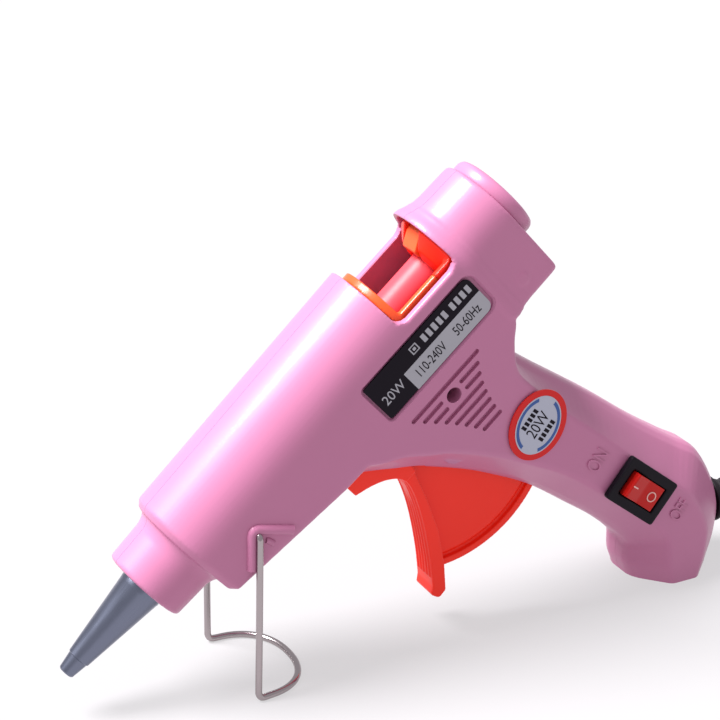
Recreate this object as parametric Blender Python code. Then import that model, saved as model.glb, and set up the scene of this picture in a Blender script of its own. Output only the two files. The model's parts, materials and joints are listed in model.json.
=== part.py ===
"""Small hot-glue gun on its wire stand, as an assembly of separate parts.

Sizes are in millimetres and are turned into metres when a mesh is made. Most parts are drawn in the
gun's own frame: x runs back along the barrel's axis from the nose collar's front face, y across, and z
up at a right angle to the barrel. An empty tilts that frame to the angle at which the gun stands.
Parts that touch the floor or the cord are drawn in the floor frame: z = 0 is the floor, and x = 0 is
near the nose. Its empty moves everything so that the middle of the object's box is at the origin.
"""

import math

import bmesh
import bpy
from mathutils import Matrix, Vector

for old in list(bpy.data.objects):
    bpy.data.objects.remove(old)

MM = 0.001
GAP = 0.3  # between parts that touch
SEAM = 0.15  # half the line between the two shells

# How the gun stands
MIDDLE_X, MIDDLE_Y = 79.557, -0.719  # middle of the object's box, cord left out, in the floor frame
TILT = math.radians(41.43)  # barrel's rise towards the rear
NOSE_X, NOSE_Z = -1.21, 28.35  # the collar's front face on the axis, in the floor frame

# Housing
WALL = 2.0
HALF_WIDTH = 13.85
BARREL_FRONT, BARREL_REAR = 13.8, 99.4
WINDOW_FRONT, WINDOW_FLOOR = 80.4, 4.2
HEAD_REAR = 115.8
COLLAR_BORE = 6.5
STICK_BORE = 3.85  # for a 7 mm glue stick
RING_R = 10.8

# Mechanism
PIVOT = (69.5, -33.5)  # trigger's pivot, x and z
FORK_TIP_Z = -4.0
FORK_IN, FORK_OUT = 4.7, 5.9  # inner and outer y of the trigger's arms
FIN_X, FIN_Z, FIN_R = 66.9, -34.4, 31.7  # the arc of the trigger's fin
TUBE_R = 4.65
CLAMP_PIVOT = (103.2, 8.0)
SPRING_Z = -12.6
STAND_PIVOT = (25.9, -3.9)

# Rocker switch: its centre, and the lean of its long side
SWITCH_AT = (93.55, -80.05)
SWITCH_LEAN = math.radians(80)
SWITCH_REST = math.radians(8)

# Cord
CORD_R = 2.4
CORD_Z = 13.7  # height of the cord's exit
RELIEF_END = 181.0
CLAMP_X, CLAMP_SCREW_Z = 138.0, (7.3, 20.1)  # the bar that grips the cord inside the butt
HANK_NEAR, HANK_FAR = 234.5, 260.5  # centres of the folded cord's two end bends
INNER_BEND = 15.0  # radius of the inner turns' bends, at the cord's middle
OUTER_BEND = INNER_BEND + 2 * CORD_R
HANK_TOP = 6 * CORD_R  # three layers
PLUG_X, PLUG_Y = 257.5, -8.0  # middle of the plug's rear face


def empty(name, location=(0, 0, 0), turn=0.0, parent=None):
    """A frame: placed in millimetres and turned about Y."""
    obj = bpy.data.objects.new(name, None)
    obj.location = Vector(location) * MM
    obj.rotation_euler = (0, turn, 0)
    obj.parent = parent
    bpy.context.collection.objects.link(obj)
    return obj


floor = empty("floor_frame", (-MIDDLE_X, -MIDDLE_Y, 0))
gun = empty("gun_frame", (NOSE_X, 0, NOSE_Z), -TILT, floor)


def to_gun(x, z):
    """The gun-frame x and z of a place in the floor frame."""
    along, up = x - NOSE_X, z - NOSE_Z
    return (
        along * math.cos(TILT) + up * math.sin(TILT),
        -along * math.sin(TILT) + up * math.cos(TILT),
    )


def finish(name, colour, roughness, metallic=0.0):
    material = bpy.data.materials.new(name)
    material.use_nodes = True
    shader = material.node_tree.nodes["Principled BSDF"]
    shader.inputs["Base Color"].default_value = (*colour, 1)
    shader.inputs["Roughness"].default_value = roughness
    shader.inputs["Metallic"].default_value = metallic
    return material


PINK = (0.80, 0.33, 0.55)
RED = (0.83, 0.045, 0.02)
BLACK = (0.012, 0.010, 0.014)
STEEL = (0.62, 0.60, 0.58)
BRASS = (0.72, 0.50, 0.20)


def add(name, mesh, material, origin=(0, 0, 0), frame=gun, hidden=False):
    """An object whose mesh was drawn in the frame's own coordinates; its origin is moved to origin."""
    mesh.transform(Matrix.Translation(-Vector(origin)))
    mesh.transform(Matrix.Scale(MM, 4))
    mesh.materials.append(material)
    obj = bpy.data.objects.new(name, mesh)
    obj.location = Vector(origin) * MM
    obj.parent = frame
    bpy.context.collection.objects.link(obj)
    if hidden:
        obj.hide_render = True
        obj.display_type = "WIRE"
    else:
        mesh.shade_smooth()
        mesh.set_sharp_from_angle(angle=math.radians(35))
    return obj


def solid(rings):
    """A closed mesh through rings of equal point counts, with its faces pointing out."""
    shape = bmesh.new()
    loops = [[shape.verts.new(point) for point in ring] for ring in rings]
    for near, far in zip(loops, loops[1:]):
        for i in range(len(near)):
            j = (i + 1) % len(near)
            shape.faces.new((near[i], near[j], far[j], far[i]))
    shape.faces.new(loops[0][::-1])
    shape.faces.new(loops[-1])
    return closed(shape)


def closed(shape):
    bmesh.ops.recalc_face_normals(shape, faces=shape.faces)
    mesh = bpy.data.meshes.new("shape")
    shape.to_mesh(mesh)
    shape.free()
    return mesh


def prism(outline, y0, y1):
    """A side-view outline of (x, z) points, given thickness across the gun."""
    return solid([[(x, y, z) for x, z in outline] for y in (y0, y1)])


def box(x0, x1, y0, y1, z0, z1):
    return prism([(x0, z0), (x1, z0), (x1, z1), (x0, z1)], y0, y1)


def lathe(profile, steps=24, along="x", centre=(0, 0, 0)):
    """A closed ring or a solid of revolution: (place along the axis, radius) points, a loop in order."""
    shape = bmesh.new()
    rings = []
    for k in range(steps):
        angle = 2 * math.pi * k / steps
        c, s = math.cos(angle), math.sin(angle)
        ring = []
        for a, r in profile:
            place = {"x": (a, r * c, r * s), "y": (r * s, a, r * c), "z": (r * c, r * s, a)}[along]
            ring.append(shape.verts.new(Vector(place) + Vector(centre)))
        rings.append(ring)
    for k in range(steps):
        near, far = rings[k], rings[(k + 1) % steps]
        for i in range(len(profile)):
            j = (i + 1) % len(profile)
            shape.faces.new((near[i], near[j], far[j], far[i]))
    bmesh.ops.remove_doubles(shape, verts=shape.verts, dist=0.001)
    bmesh.ops.dissolve_degenerate(shape, edges=shape.edges, dist=0.001)
    return closed(shape)


def turned(outer, steps=24, along="x", centre=(0, 0, 0), bore=0.0):
    """A turned part: its outer profile from end to end, with a straight bore or none."""
    first, last = outer[0][0], outer[-1][0]
    return lathe([(first, bore)] + list(outer) + [(last, bore)], steps, along, centre)


def corner(outline, radii, steps=3):
    """The outline with its corners rounded; radii holds one radius for each point, 0 for a sharp one."""
    rounded = []
    for i, (x, z) in enumerate(outline):
        here = Vector((x, z))
        back = (Vector(outline[i - 1]) - here).normalized()
        ahead = (Vector(outline[(i + 1) % len(outline)]) - here).normalized()
        if radii[i] == 0:
            rounded.append((x, z))
            continue
        half = back.angle(ahead) / 2
        reach = radii[i] / math.tan(half)
        middle = here + (back + ahead).normalized() * radii[i] / math.sin(half)
        start, end = here + back * reach - middle, here + ahead * reach - middle
        for k in range(steps + 1):
            step = start.lerp(end, k / steps).normalized() * radii[i]
            rounded.append(tuple(middle + step))
    return rounded


def disc(x, z, radius, steps=16):
    """A round outline in the side view."""
    angles = [2 * math.pi * k / steps for k in range(steps)]
    return [(x + radius * math.cos(a), z + radius * math.sin(a)) for a in angles]


def cut(obj, operation, others):
    """A Boolean of one object with a list of hidden ones."""
    group = bpy.data.collections.new(obj.name + "_" + operation.lower())
    for other in others:
        group.objects.link(other)
    modifier = obj.modifiers.new(operation.title(), "BOOLEAN")
    modifier.operation = operation
    modifier.operand_type = "COLLECTION"
    modifier.collection = group
    return obj


def helper(name, mesh, frame=gun):
    return add(name, mesh, NO_FINISH, frame=frame, hidden=True)


def wire(name, points, radius, material, frame, sides=1, origin=(0, 0, 0)):
    """A round wire or tube along points."""
    curve = bpy.data.curves.new(name, "CURVE")
    curve.dimensions = "3D"
    curve.bevel_depth = radius * MM
    curve.bevel_resolution = sides
    curve.use_fill_caps = True
    line = curve.splines.new("POLY")
    line.points.add(len(points) - 1)
    for point, place in zip(line.points, points):
        point.co = (*((Vector(place) - Vector(origin)) * MM), 1)
    curve.materials.append(material)
    obj = bpy.data.objects.new(name, curve)
    obj.location = Vector(origin) * MM
    obj.parent = frame
    bpy.context.collection.objects.link(obj)
    return obj


def smooth(route, spacing):
    """Points about evenly spaced on a Catmull-Rom curve through the route."""
    knots = [Vector(p) for p in route]
    knots = [2 * knots[0] - knots[1]] + knots + [2 * knots[-1] - knots[-2]]
    fine = []
    for a, b, c, d in zip(knots, knots[1:], knots[2:], knots[3:]):
        for k in range(20):
            t = k / 20
            fine.append(
                0.5 * (2 * b + (c - a) * t + (2 * a - 5 * b + 4 * c - d) * t**2)
                + 0.5 * (3 * b - a - 3 * c + d) * t**3
            )
    fine.append(knots[-2])
    kept = [fine[0]]
    for point in fine[1:-1]:
        if (point - kept[-1]).length >= spacing:
            kept.append(point)
    if (fine[-1] - kept[-1]).length < spacing / 2:
        kept.pop()
    return kept + [fine[-1]]


NO_FINISH = finish("cutter", (0.5, 0.5, 0.5), 0.5)
PINK_SHELL = finish("pink_plastic", PINK, 0.38)
RED_PLASTIC = finish("red_plastic", RED, 0.32)
ALUMINIUM = finish("aluminium", (0.66, 0.67, 0.69), 0.32, 1.0)
PLATED_WIRE = finish("plated_wire", STEEL, 0.16, 1.0)
SCREW_STEEL = finish("screw_steel", STEEL, 0.35, 1.0)
SPRING_STEEL = finish("spring_steel", STEEL, 0.28, 1.0)
BLACK_PLASTIC = finish("black_plastic", BLACK, 0.38)
ROCKER_RED = finish("rocker_red", (0.55, 0.01, 0.01), 0.22)
PVC = finish("cord_pvc", BLACK, 0.5)
SILICONE = finish("silicone", (1.0, 0.08, 0.12), 0.42)
PLATE = finish("label_foil", (0.02, 0.015, 0.03), 0.3)
BADGE = finish("badge_film", (0.62, 0.62, 0.68), 0.3)
CERAMIC = finish("ceramic", (0.86, 0.84, 0.78), 0.7)
BRASS_TAB = finish("brass", BRASS, 0.3, 1.0)
CORE_BLUE = finish("core_blue", (0.02, 0.10, 0.42), 0.45)
CORE_BROWN = finish("core_brown", (0.16, 0.06, 0.02), 0.45)


# Housing


def barrel_ring(x, half, top, low, inset):
    """One section of the barrel: round top about height top, flat sides, small lower corners."""
    r = half - inset
    floor = low + inset
    soft = max(2.0 - inset, 0.4)
    ring = [(x, r * math.cos(a), top + r * math.sin(a)) for a in (math.pi * k / 14 for k in range(15))]
    for middle, start in ((-r + soft, math.pi), (r - soft, 1.5 * math.pi)):
        for k in range(4):
            a = start + k / 3 * math.pi / 2
            ring.append((x, middle + soft * math.cos(a), floor + soft + soft * math.sin(a)))
    return ring


def barrel(inset):
    """The barrel and the head: a tapered body, then a bell-mouthed hood."""
    front, rear = BARREL_FRONT + inset, HEAD_REAR - inset
    stations = [
        (BARREL_FRONT - 1.4 + inset, HALF_WIDTH - 1.3, 0.0, -9.8),
        (front, HALF_WIDTH, 0.0, -11.1),
        (45.8, HALF_WIDTH, 1.0, -15.0),
        (80.0, HALF_WIDTH, 2.0, -16.5),
        (98.6, HALF_WIDTH, 2.0, -17.6),
        (99.4, HALF_WIDTH, 0.2, -17.8),
        (100.6, HALF_WIDTH + 0.1, 0.0, -18.2),
        (103.4, 13.2, 0.0, -18.8),
        (106.8, 12.6, 0.0, -18.9),
        (rear - 2.0, 12.3, 0.0, -18.9),
        (rear, 11.2 - inset * 0.3, 0.0, -17.6),
    ]
    return solid([barrel_ring(*station, inset) for station in stations])


def grip_ring(front, rear, half, chamfer, heel, inset):
    """One section of the handle, from its front point to its rear one."""
    (fx, fz), (rx, rz) = front, rear
    length = math.hypot(rx - fx, rz - fz)
    ux, uz = (rx - fx) / length, (rz - fz) / length
    half = half - inset
    end = length - inset
    outline = [
        (inset, 3.2),
        (inset + 1.6, 6.6),
        (chamfer + inset * 0.4, half - 0.7),
        (chamfer + 1.4, half),
        (length - heel - 1.4, half),
        (length - heel - inset * 0.4, half - 0.7),
        (end - 1.6, 6.2),
        (end, 2.8),
    ]
    ring = [(fx + ux * d, y, fz + uz * d) for d, y in outline]
    return ring + [(fx + ux * d, -y, fz + uz * d) for d, y in reversed(outline)]


def grip(inset):
    """The handle with its arch over the finger, its neck and the flared butt."""
    sections = [
        ((47.0, -13.0), (104.0, -14.0), HALF_WIDTH, 5.0, 3.0),
        ((47.5, -16.2), (103.0, -18.4), HALF_WIDTH, 6.0, 3.0),
        ((52.0, -20.5), (99.5, -21.8), HALF_WIDTH, 8.0, 3.0),
        ((57.0, -25.8), (96.2, -25.5), HALF_WIDTH, 8.2, 3.0),
        ((62.0, -31.5), (95.0, -30.0), HALF_WIDTH, 7.6, 3.6),
        ((68.5, -42.2), (97.3, -38.0), HALF_WIDTH, 7.2, 4.6),
        ((72.2, -50.0), (100.0, -48.0), HALF_WIDTH, 7.0, 5.8),
        ((76.6, -61.5), (103.0, -59.0), HALF_WIDTH, 7.0, 6.6),
        ((79.6, -75.0), (106.6, -75.0), HALF_WIDTH, 6.8, 7.6),
        ((81.6, -85.0), (109.6, -86.0), HALF_WIDTH, 6.8, 8.0),
        (to_gun(122.6, 12.0), (111.2, -96.0), HALF_WIDTH, 7.0, 8.0),
        (to_gun(124.4, 8.6), to_gun(150.9, 18.5), HALF_WIDTH - 0.1, 7.6, 7.0),
        (to_gun(124.2, 4.0), to_gun(151.2, 8.0), HALF_WIDTH - 0.4, 8.0, 6.6),
        (to_gun(126.8 + inset * 0.2, inset), to_gun(150.0, inset), HALF_WIDTH - 1.0, 8.0, 6.6),
    ]
    if inset:
        sections = sections[:2] + sections[2:]
    else:
        sections.append((to_gun(127.4, -3.0), to_gun(149.6, -3.0), HALF_WIDTH - 1.4, 8.0, 6.6))
    return solid([grip_ring(*section, inset) for section in sections])


def collar():
    """The stepped nose, with its hollow fillet against the barrel."""
    outer = [(0.0, 9.2), (0.6, 9.9), (9.0, 10.3), (11.2, 10.8), (12.6, 11.8), (13.6, 13.0), (15.5, 13.0)]
    return turned(outer, 28)


def rib(x0, x1, inner):
    """A plate across the barrel that carries the melt tube."""
    ring = barrel_ring(0, HALF_WIDTH, 0.8, -12.6, WALL - 0.5)
    plate = solid([[(x, y, z) for _, y, z in ring] for x in (x0, x1)])
    hole = helper("rib_hole", turned([(x0 - 1, inner), (x1 + 1, inner)]))
    wire_way = helper("wire_way", box(x0 - 1, x1 + 1, -3.2, 3.2, 5.0, 9.6))
    return cut(helper("rib", plate), "DIFFERENCE", [hole, wire_way])


SCREWS = {"front": (78.2, -18.9), "rear": (86.9, -42.6)}
SCREW_SEAT = -8.0  # y of the face under a screw's head
RECESS_R, BOSS_R, SHANK_HOLE_R, PILOT_R = 1.9, 3.1, 1.35, 0.95


def bosses(side):
    """The posts that take the housing screws and the trigger's pivot, on one side of the gun."""
    posts = []
    for x, z in SCREWS.values():
        posts.append(helper("boss", prism(disc(x, z, BOSS_R), side * SEAM, side * (HALF_WIDTH - 1))))
    posts.append(helper("pivot_pad", prism(disc(*PIVOT, 3.2), side * 6.3, side * 8.6)))
    posts.append(helper("pivot_peg", prism(disc(*PIVOT, 2.0), side * SEAM, side * 9.6)))
    posts.append(helper("spring_post", prism(disc(107.9, SPRING_Z, 1.5), side * SEAM, side * 12.6)))
    if side > 0:
        for z in CLAMP_SCREW_Z:
            posts.append(helper("clamp_post", prism(disc(CLAMP_X, z, 2.2), SEAM, 12.6), floor))
    return posts


def stand_marks(side):
    """The angled rib round the stand's hole. Its arms hang straight down and reach back when the gun stands."""
    hx, hz = STAND_PIVOT
    c, s = math.cos(TILT), math.sin(TILT)
    inner, outer = side * (HALF_WIDTH - 1.0), side * (HALF_WIDTH + 1.2)
    marks = []
    for start, end in (((-2.6, 1.2), (-2.3, -7.6)), ((-2.6, 1.2), (7.4, -0.4))):
        line = Vector(end) - Vector(start)
        beside = Vector((-line.y, line.x)).normalized() * 0.85
        ahead = line.normalized() * 0.6
        points = [
            Vector(start) - ahead + beside,
            Vector(start) - ahead - beside,
            Vector(end) - beside,
            Vector(end) + beside,
        ]
        outline = [(hx + p.x * c + p.y * s, hz - p.x * s + p.y * c) for p in points]
        marks.append(helper("stand_rib", prism(corner(outline, [0.5, 0.5, 0.8, 0.8]), inner, outer)))
    return marks


def vents(side):
    """Eight shallow grooves beside the front screw, along the barrel."""
    grooves = []
    starts = (67.0, 68.8, 70.5, 72.1, 73.6, 74.9, 76.1, 77.1)
    ends = (89.4, 87.6, 86.3, 85.2, 84.4, 83.8, 83.4, 83.4)
    for row, (x0, x1) in enumerate(zip(starts, ends)):
        z = -15.4 - 2.37 * row
        sx, sz = SCREWS["front"]
        reach = 3.2**2 - (z - sz) ** 2
        parts = [(x0, x1)]
        if reach > 0:
            parts = [(x0, sx - math.sqrt(reach)), (sx + math.sqrt(reach), x1)]
        for a, b in parts:
            y0, y1 = sorted((side * (HALF_WIDTH - 0.6), side * (HALF_WIDTH + 1)))
            grooves.append(helper("groove", box(a, b, y0, y1, z - 0.4, z + 0.4)))
    return grooves


def switch_box(x, z, y0, y1):
    return box(-x, x, y0, y1, -z, z)


switch_frame = empty("switch_frame", (SWITCH_AT[0], 0, SWITCH_AT[1]), SWITCH_LEAN, gun)


def ring_at(x0, x1, radius, centre=(0, 0, 0)):
    """A cutter along x."""
    return turned([(x0, radius), (x1, radius)], centre=centre)


def shell(name, side):
    """One half of the housing."""
    lo, hi = sorted((side * SEAM, -100 * side))
    window = corner(
        [(WINDOW_FRONT, 30), (WINDOW_FRONT, WINDOW_FLOOR), (BARREL_REAR, WINDOW_FLOOR), (BARREL_REAR, 30)],
        [0, 2.5, 2.5, 0],
    )
    slot = [(44, -10), (44, -30), (76.0, -66.0), (80.5, -66.0), (78, -56), (72, -42), (60, -20)]
    body = add(name, barrel(0.0), PINK_SHELL)
    cut(body, "UNION", [helper("grip", grip(0.0)), helper("collar", collar())])
    hollow = [
        helper("inside_barrel", barrel(WALL)),
        helper("inside_grip", grip(WALL)),
        helper("trigger_slot", prism(slot, -6.4, 6.4)),
    ]
    cut(body, "DIFFERENCE", hollow)
    ribs = [rib(17.2, 19.0, 6.4), rib(47.2, 49.0, 6.4)]
    cut(body, "UNION", bosses(side) + stand_marks(side) + ribs)
    holes = [
        helper("other_half", box(-60, 160, lo, hi, -200, 80)),
        helper("below_floor", box(-300, 300, -100, 100, -50, 0), floor),
        helper("collar_bore", ring_at(-2, 17, COLLAR_BORE)),
        helper("window", prism(window, -30, 30)),
        helper("ring_bore", ring_at(110, 118, 7.3)),
        helper("stand_hole", prism(disc(*STAND_PIVOT, 1.1), side * 8, side * 20)),
        helper("relief_hole", ring_at(138, 160, 4.3, (0, 0, CORD_Z)), floor),
    ]
    if side < 0:
        holes.append(helper("switch_hole", switch_box(7.3, 4.9, -20, -11), switch_frame))
        holes.append(helper("plate_recess", box(64.9, 98.0, -20, 0.9 - HALF_WIDTH, -10.2, 0.6)))
    for x, z in SCREWS.values():
        if side < 0:
            holes.append(helper("screw_recess", prism(disc(x, z, RECESS_R), -20, SCREW_SEAT)))
            holes.append(helper("screw_way", prism(disc(x, z, SHANK_HOLE_R), -20, 2)))
        else:
            holes.append(helper("pilot", prism(disc(x, z, PILOT_R), -1, 7.5)))
    if side > 0:
        for z in CLAMP_SCREW_Z:
            holes.append(helper("clamp_pilot", prism(disc(CLAMP_X, z, 1.1), -1, 4), floor))
    cut(body, "DIFFERENCE", holes + vents(side))
    return body


shell("housing_left", -1)
shell("housing_right", 1)

ring_profile = [
    (111.5, 4.2),
    (111.5, 7.0),
    (HEAD_REAR + GAP, 7.0),
    (HEAD_REAR + GAP, RING_R),
    (118.9, RING_R),
    (119.6, RING_R - 0.8),
    (119.6, 6.4),
    (116.6, 4.2),
]
add("inlet_ring", lathe(ring_profile, 32), PINK_SHELL)

# Melting end

nozzle = [
    (-25.9, 0.9),
    (-25.9, 1.9),
    (-21.4, 2.5),
    (-21.2, 2.75),
    (-1.2, 5.27),
    (0.2, 5.27),
    (0.2, 5.9),
    (7.9, 5.9),
    (7.9, 4.1),
    (15.5, 4.1),
    (15.5, 2.6),
    (-14.0, 2.6),
    (-22.5, 0.9),
]
add("nozzle", lathe(nozzle, 28), ALUMINIUM)

melt = [
    (8.2, 4.4),
    (8.2, 6.0),
    (50.0, 6.0),
    (50.0, 4.4),
    (58.0, 4.4),
    (58.0, STICK_BORE - 0.1),
    (16.2, STICK_BORE - 0.1),
    (15.9, 4.4),
]
melt_tube = add("melt_tube", lathe(melt, 24), ALUMINIUM)
pocket = helper("pocket", box(21.0, 45.0, -4.7, 4.7, 4.0, 10.2))
cut(melt_tube, "UNION", [pocket])
cut(melt_tube, "DIFFERENCE", [helper("pocket_slot", box(19.5, 46.5, -3.6, 3.6, 6.6, 9.2))])

add("ptc_heater", box(22.0, 44.0, -3.3, 3.3, 6.9, 8.9), CERAMIC)
SLEEVE = [(50.4, 4.7), (50.4, 5.6), (56.8, 5.6), (57.1, 5.0), (62.5, 5.0), (62.5, 4.7)]
add("silicone_sleeve", lathe(SLEEVE), SILICONE)
add("sleeve_clip", lathe([(51.4, 5.9), (51.4, 6.8), (53.4, 6.8), (53.4, 5.9)]), SPRING_STEEL)

# Feed carriage, which slides along the barrel


def carriage():
    plate_ring = barrel_ring(0, 11.25, 2.0, -8.0, 0)
    rear_ring = barrel_ring(0, 11.5, 0.0, -8.0, 0)
    mouth_ring = barrel_ring(0, 6.4, 0.0, -5.0, 0)

    def plate(*stations):
        return solid([[(x, y, z) for _, y, z in ring] for x, ring in stations])

    body = add("feed_carriage", plate((80.6, plate_ring), (82.6, plate_ring)), RED_PLASTIC)
    parts = [
        helper("rear_plate", plate((95.6, mouth_ring), (99.4, rear_ring), (100.7, rear_ring))),
        helper("rear_barrel", turned([(99, 9.6), (108, 9.6), (108.8, 8.8)])),
        helper("spring_tab", box(80.6, 82.6, -2.0, 2.0, -14.6, -7.0)),
        helper("rail", box(82, 98.95, -10.9, -9.4, 1.4, 4.9)),
    ]
    px = PIVOT[0]
    lug = [(px - 4, 1.6), (px - 4, -6.3), (px - 2.2, -6.3), (px - 2.2, -1.7)]
    lug += [(px + 2.2, -1.7), (px + 2.2, -6.3), (px + 4, -6.3), (px + 4, 1.6)]
    for side in (-1, 1):
        bar = sorted((side * 5.1, side * 6.9))
        parts.append(helper("push_bar", box(66, 81, *bar, -1.4, 1.6)))
        parts.append(helper("lug", prism(lug, *bar)))
    cut(body, "UNION", parts)
    jaw_slot = helper("jaw_slot", box(94.0, 106.4, -3.2, 3.2, 3.0, 12.0))
    way = helper("stick_way", turned([(79, 4.95), (97.8, 4.95), (98.2, 4.3), (110, 4.3)]))
    peg = helper("jaw_peg", prism(disc(*CLAMP_PIVOT, 0.9, 10), -4.0, 4.0))
    cut(body, "DIFFERENCE", [way, jaw_slot])
    cut(body, "UNION", [peg])


carriage()
add("guide_tube", lathe([(72.0, 3.85), (72.0, TUBE_R), (97.6, TUBE_R), (97.6, 3.85)]), SILICONE)

jaw = [(95.6, 6.2), (98.2, 6.0), (98.8, 4.4), (99.8, 4.5), (101.0, 6.0)]
jaw += [(105.2, 6.6), (105.2, 9.4), (103.4, 10.2), (97.6, 9.9), (95.4, 8.4)]
clamp = add(
    "stick_clamp",
    prism(corner(jaw, [0.8, 0.4, 0.2, 0.2, 0.6, 1.0, 1.2, 1.0, 1.4, 1.0], 2), -2.8, 2.8),
    RED_PLASTIC,
    origin=(CLAMP_PIVOT[0], 0, CLAMP_PIVOT[1]),
)
cut(clamp, "DIFFERENCE", [helper("jaw_bore", prism(disc(*CLAMP_PIVOT, 1.2, 10), -5, 5))])


def coil_spring(x0, x1, radius, turns):
    steps = turns * 9
    points = []
    for k in range(steps + 1):
        a = 2 * math.pi * turns * k / steps
        points.append((x0 + (x1 - x0) * k / steps, radius * math.cos(a), SPRING_Z + radius * math.sin(a)))
    return points


wire("return_spring", coil_spring(83.2, 105.6, 2.1, 11), 0.35, SPRING_STEEL, gun, 0)

# Trigger


def trigger():
    px, pz = PIVOT
    origin = (px, 0, pz)
    blade = [
        (54.6, -28.4),
        (55.7, -32.4),
        (53.9, -38.8),
        (51.0, -45.8),
        (47.0, -52.4),
        (41.0, -59.6),
        (40.6, -62.0),
        (42.0, -64.2),
        (43.6, -64.2),
        (48.6, -58.6),
        (52.9, -51.2),
        (56.4, -43.0),
        (59.4, -33.0),
        (66.0, -30.4),
        (62.0, -25.2),
    ]
    flange = [(54.6, -28.4), (50.8, -25.0), (46.8, -23.6), (46.8, -22.2), (51.4, -23.2), (56.0, -26.2)]
    flange.append((60.0, -29.4))
    arc = [math.radians(a) for a in range(234, 292, 4)]
    fin = [(FIN_X + FIN_R * math.cos(a), FIN_Z + FIN_R * math.sin(a)) for a in arc]
    web = [(47.8, -58.2)] + fin + [(px + 3.6, pz), (px, pz + 3.6), (58.0, -30.0), (54.0, -42.0)]
    inner = FIN_R - 1.8
    rim = fin + [(FIN_X + inner * math.cos(a), FIN_Z + inner * math.sin(a)) for a in reversed(arc)]
    body = add("trigger", prism(blade, -4.0, 4.0), RED_PLASTIC, origin=origin)
    arm = [(px - 3.4, pz), (px - 1.6, FORK_TIP_Z), (px + 1.6, FORK_TIP_Z), (px + 3.4, pz)]
    parts = [
        helper("flange", prism(flange, -5.6, 5.6)),
        helper("web", prism(web, -1.1, 1.1)),
        helper("rim", prism(rim, -1.9, 1.9)),
        helper("boss", prism(disc(px, pz, 4.2), -FORK_OUT, FORK_OUT)),
    ]
    for y0, y1 in ((-FORK_OUT, -FORK_IN), (FORK_IN, FORK_OUT)):
        parts.append(helper("arm", prism(arm, y0, y1)))
        parts.append(helper("arm_tip", prism(disc(px, FORK_TIP_Z, 1.9), y0, y1)))
    cut(body, "UNION", parts)
    cut(body, "DIFFERENCE", [helper("pivot_bore", prism(disc(px, pz, 2.35), -9, 9))])


trigger()

# Wire stand, drawn in the floor frame: straight legs and a bow that lies on the floor


def stand():
    hx = NOSE_X + STAND_PIVOT[0] * math.cos(TILT) - STAND_PIVOT[1] * math.sin(TILT)
    hz = NOSE_Z + STAND_PIVOT[0] * math.sin(TILT) + STAND_PIVOT[1] * math.cos(TILT)
    radius, leg_y, foot_y, foot_x = 0.8, 15.1, 14.6, hx - 0.9
    side = [(hx, 12.2, hz), (hx, 14.2, hz), (hx, leg_y, hz - 0.9), (hx - 0.1, leg_y, hz - 3.0)]
    side += [(foot_x, foot_y + 0.02, 3.0), (foot_x + 0.1, foot_y, 1.4), (foot_x + 0.9, foot_y - 0.1, radius)]
    bow = []
    for k in range(1, 24):
        a = math.pi * k / 24
        reach = math.sin(a) ** 0.85
        across = math.copysign(abs(math.cos(a)) ** 0.9, math.cos(a))
        bow.append((foot_x + 1.5 + 12.8 * reach, (foot_y - 0.3) * across, radius))
    other = [(x, -y, z) for x, y, z in reversed(side)]
    wire("stand_wire", side + bow + other, radius, PLATED_WIRE, floor, 1, (hx, 0, hz))


stand()

# Rocker switch, in its own frame: local x along its long side, local z across it

OUT = -HALF_WIDTH - GAP
switch_body = add("switch_body", switch_box(8.7, 6.0, OUT - 1.6, OUT), BLACK_PLASTIC, frame=switch_frame)
cut(switch_body, "UNION", [helper("switch_case", switch_box(7.0, 4.6, OUT - 0.5, -3.0), frame=switch_frame)])
cut(switch_body, "DIFFERENCE", [helper("rocker_well", switch_box(6.35, 3.5, -20, -8.0), frame=switch_frame)])

rocker_axis = empty("rocker_axis", (0, -12.4, 0), 0, switch_frame)
rocker_axis.rotation_euler = (0, 0, SWITCH_REST)
faces = [(-5.6, -4.1), (0.0, -3.0), (5.6, -4.1), (5.6, -1.6), (2.4, 2.2), (-2.4, 2.2), (-5.6, -1.6)]
add(
    "switch_rocker",
    solid([[(x, y, z) for x, y in faces] for z in (-3.2, 3.2)]),
    ROCKER_RED,
    frame=rocker_axis,
)
for name, x in (("switch_tab_in", -3.6), ("switch_tab_out", 3.6)):
    add(name, box(x - 0.4, x + 0.4, -2.7, 4.6, -2.4, 2.4), BRASS_TAB, frame=switch_frame)

# Label plate and badge

plate_outline = corner([(65.2, -9.9), (97.7, -9.9), (97.7, 0.3), (65.2, 0.3)], [0.4, 2.0, 2.0, 0.4])
add("rating_plate", prism(plate_outline, -HALF_WIDTH + 0.1, -HALF_WIDTH + 0.6), PLATE)


def oval(x, z, long, short, lean, steps=32):
    points = []
    for k in range(steps):
        a = 2 * math.pi * k / steps
        u, v = long * math.cos(a), short * math.sin(a)
        points.append((x + u * math.cos(lean) - v * math.sin(lean), z + u * math.sin(lean) + v * math.cos(lean)))
    return points


add("oval_badge", prism(oval(86.9, -42.6, 8.9, 7.6, math.radians(28)), OUT - 0.4, OUT), BADGE)

# Fasteners


def screw(name, x, y, z, head, shank, length, steps=12):
    """A pan-head screw that points across the gun, its head's underside at y."""
    profile = [(y - 1.2, head * 0.8), (y - 0.8, head), (y, head), (y, shank), (y + length, shank)]
    return turned(profile, steps, "y", (x, 0, z))


for name, (x, z) in SCREWS.items():
    add("screw_" + name, screw(name, x, SCREW_SEAT - GAP, z, 1.6, 0.75, 13.0), SCREW_STEEL)

# Cord end in the butt, drawn in the floor frame

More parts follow.
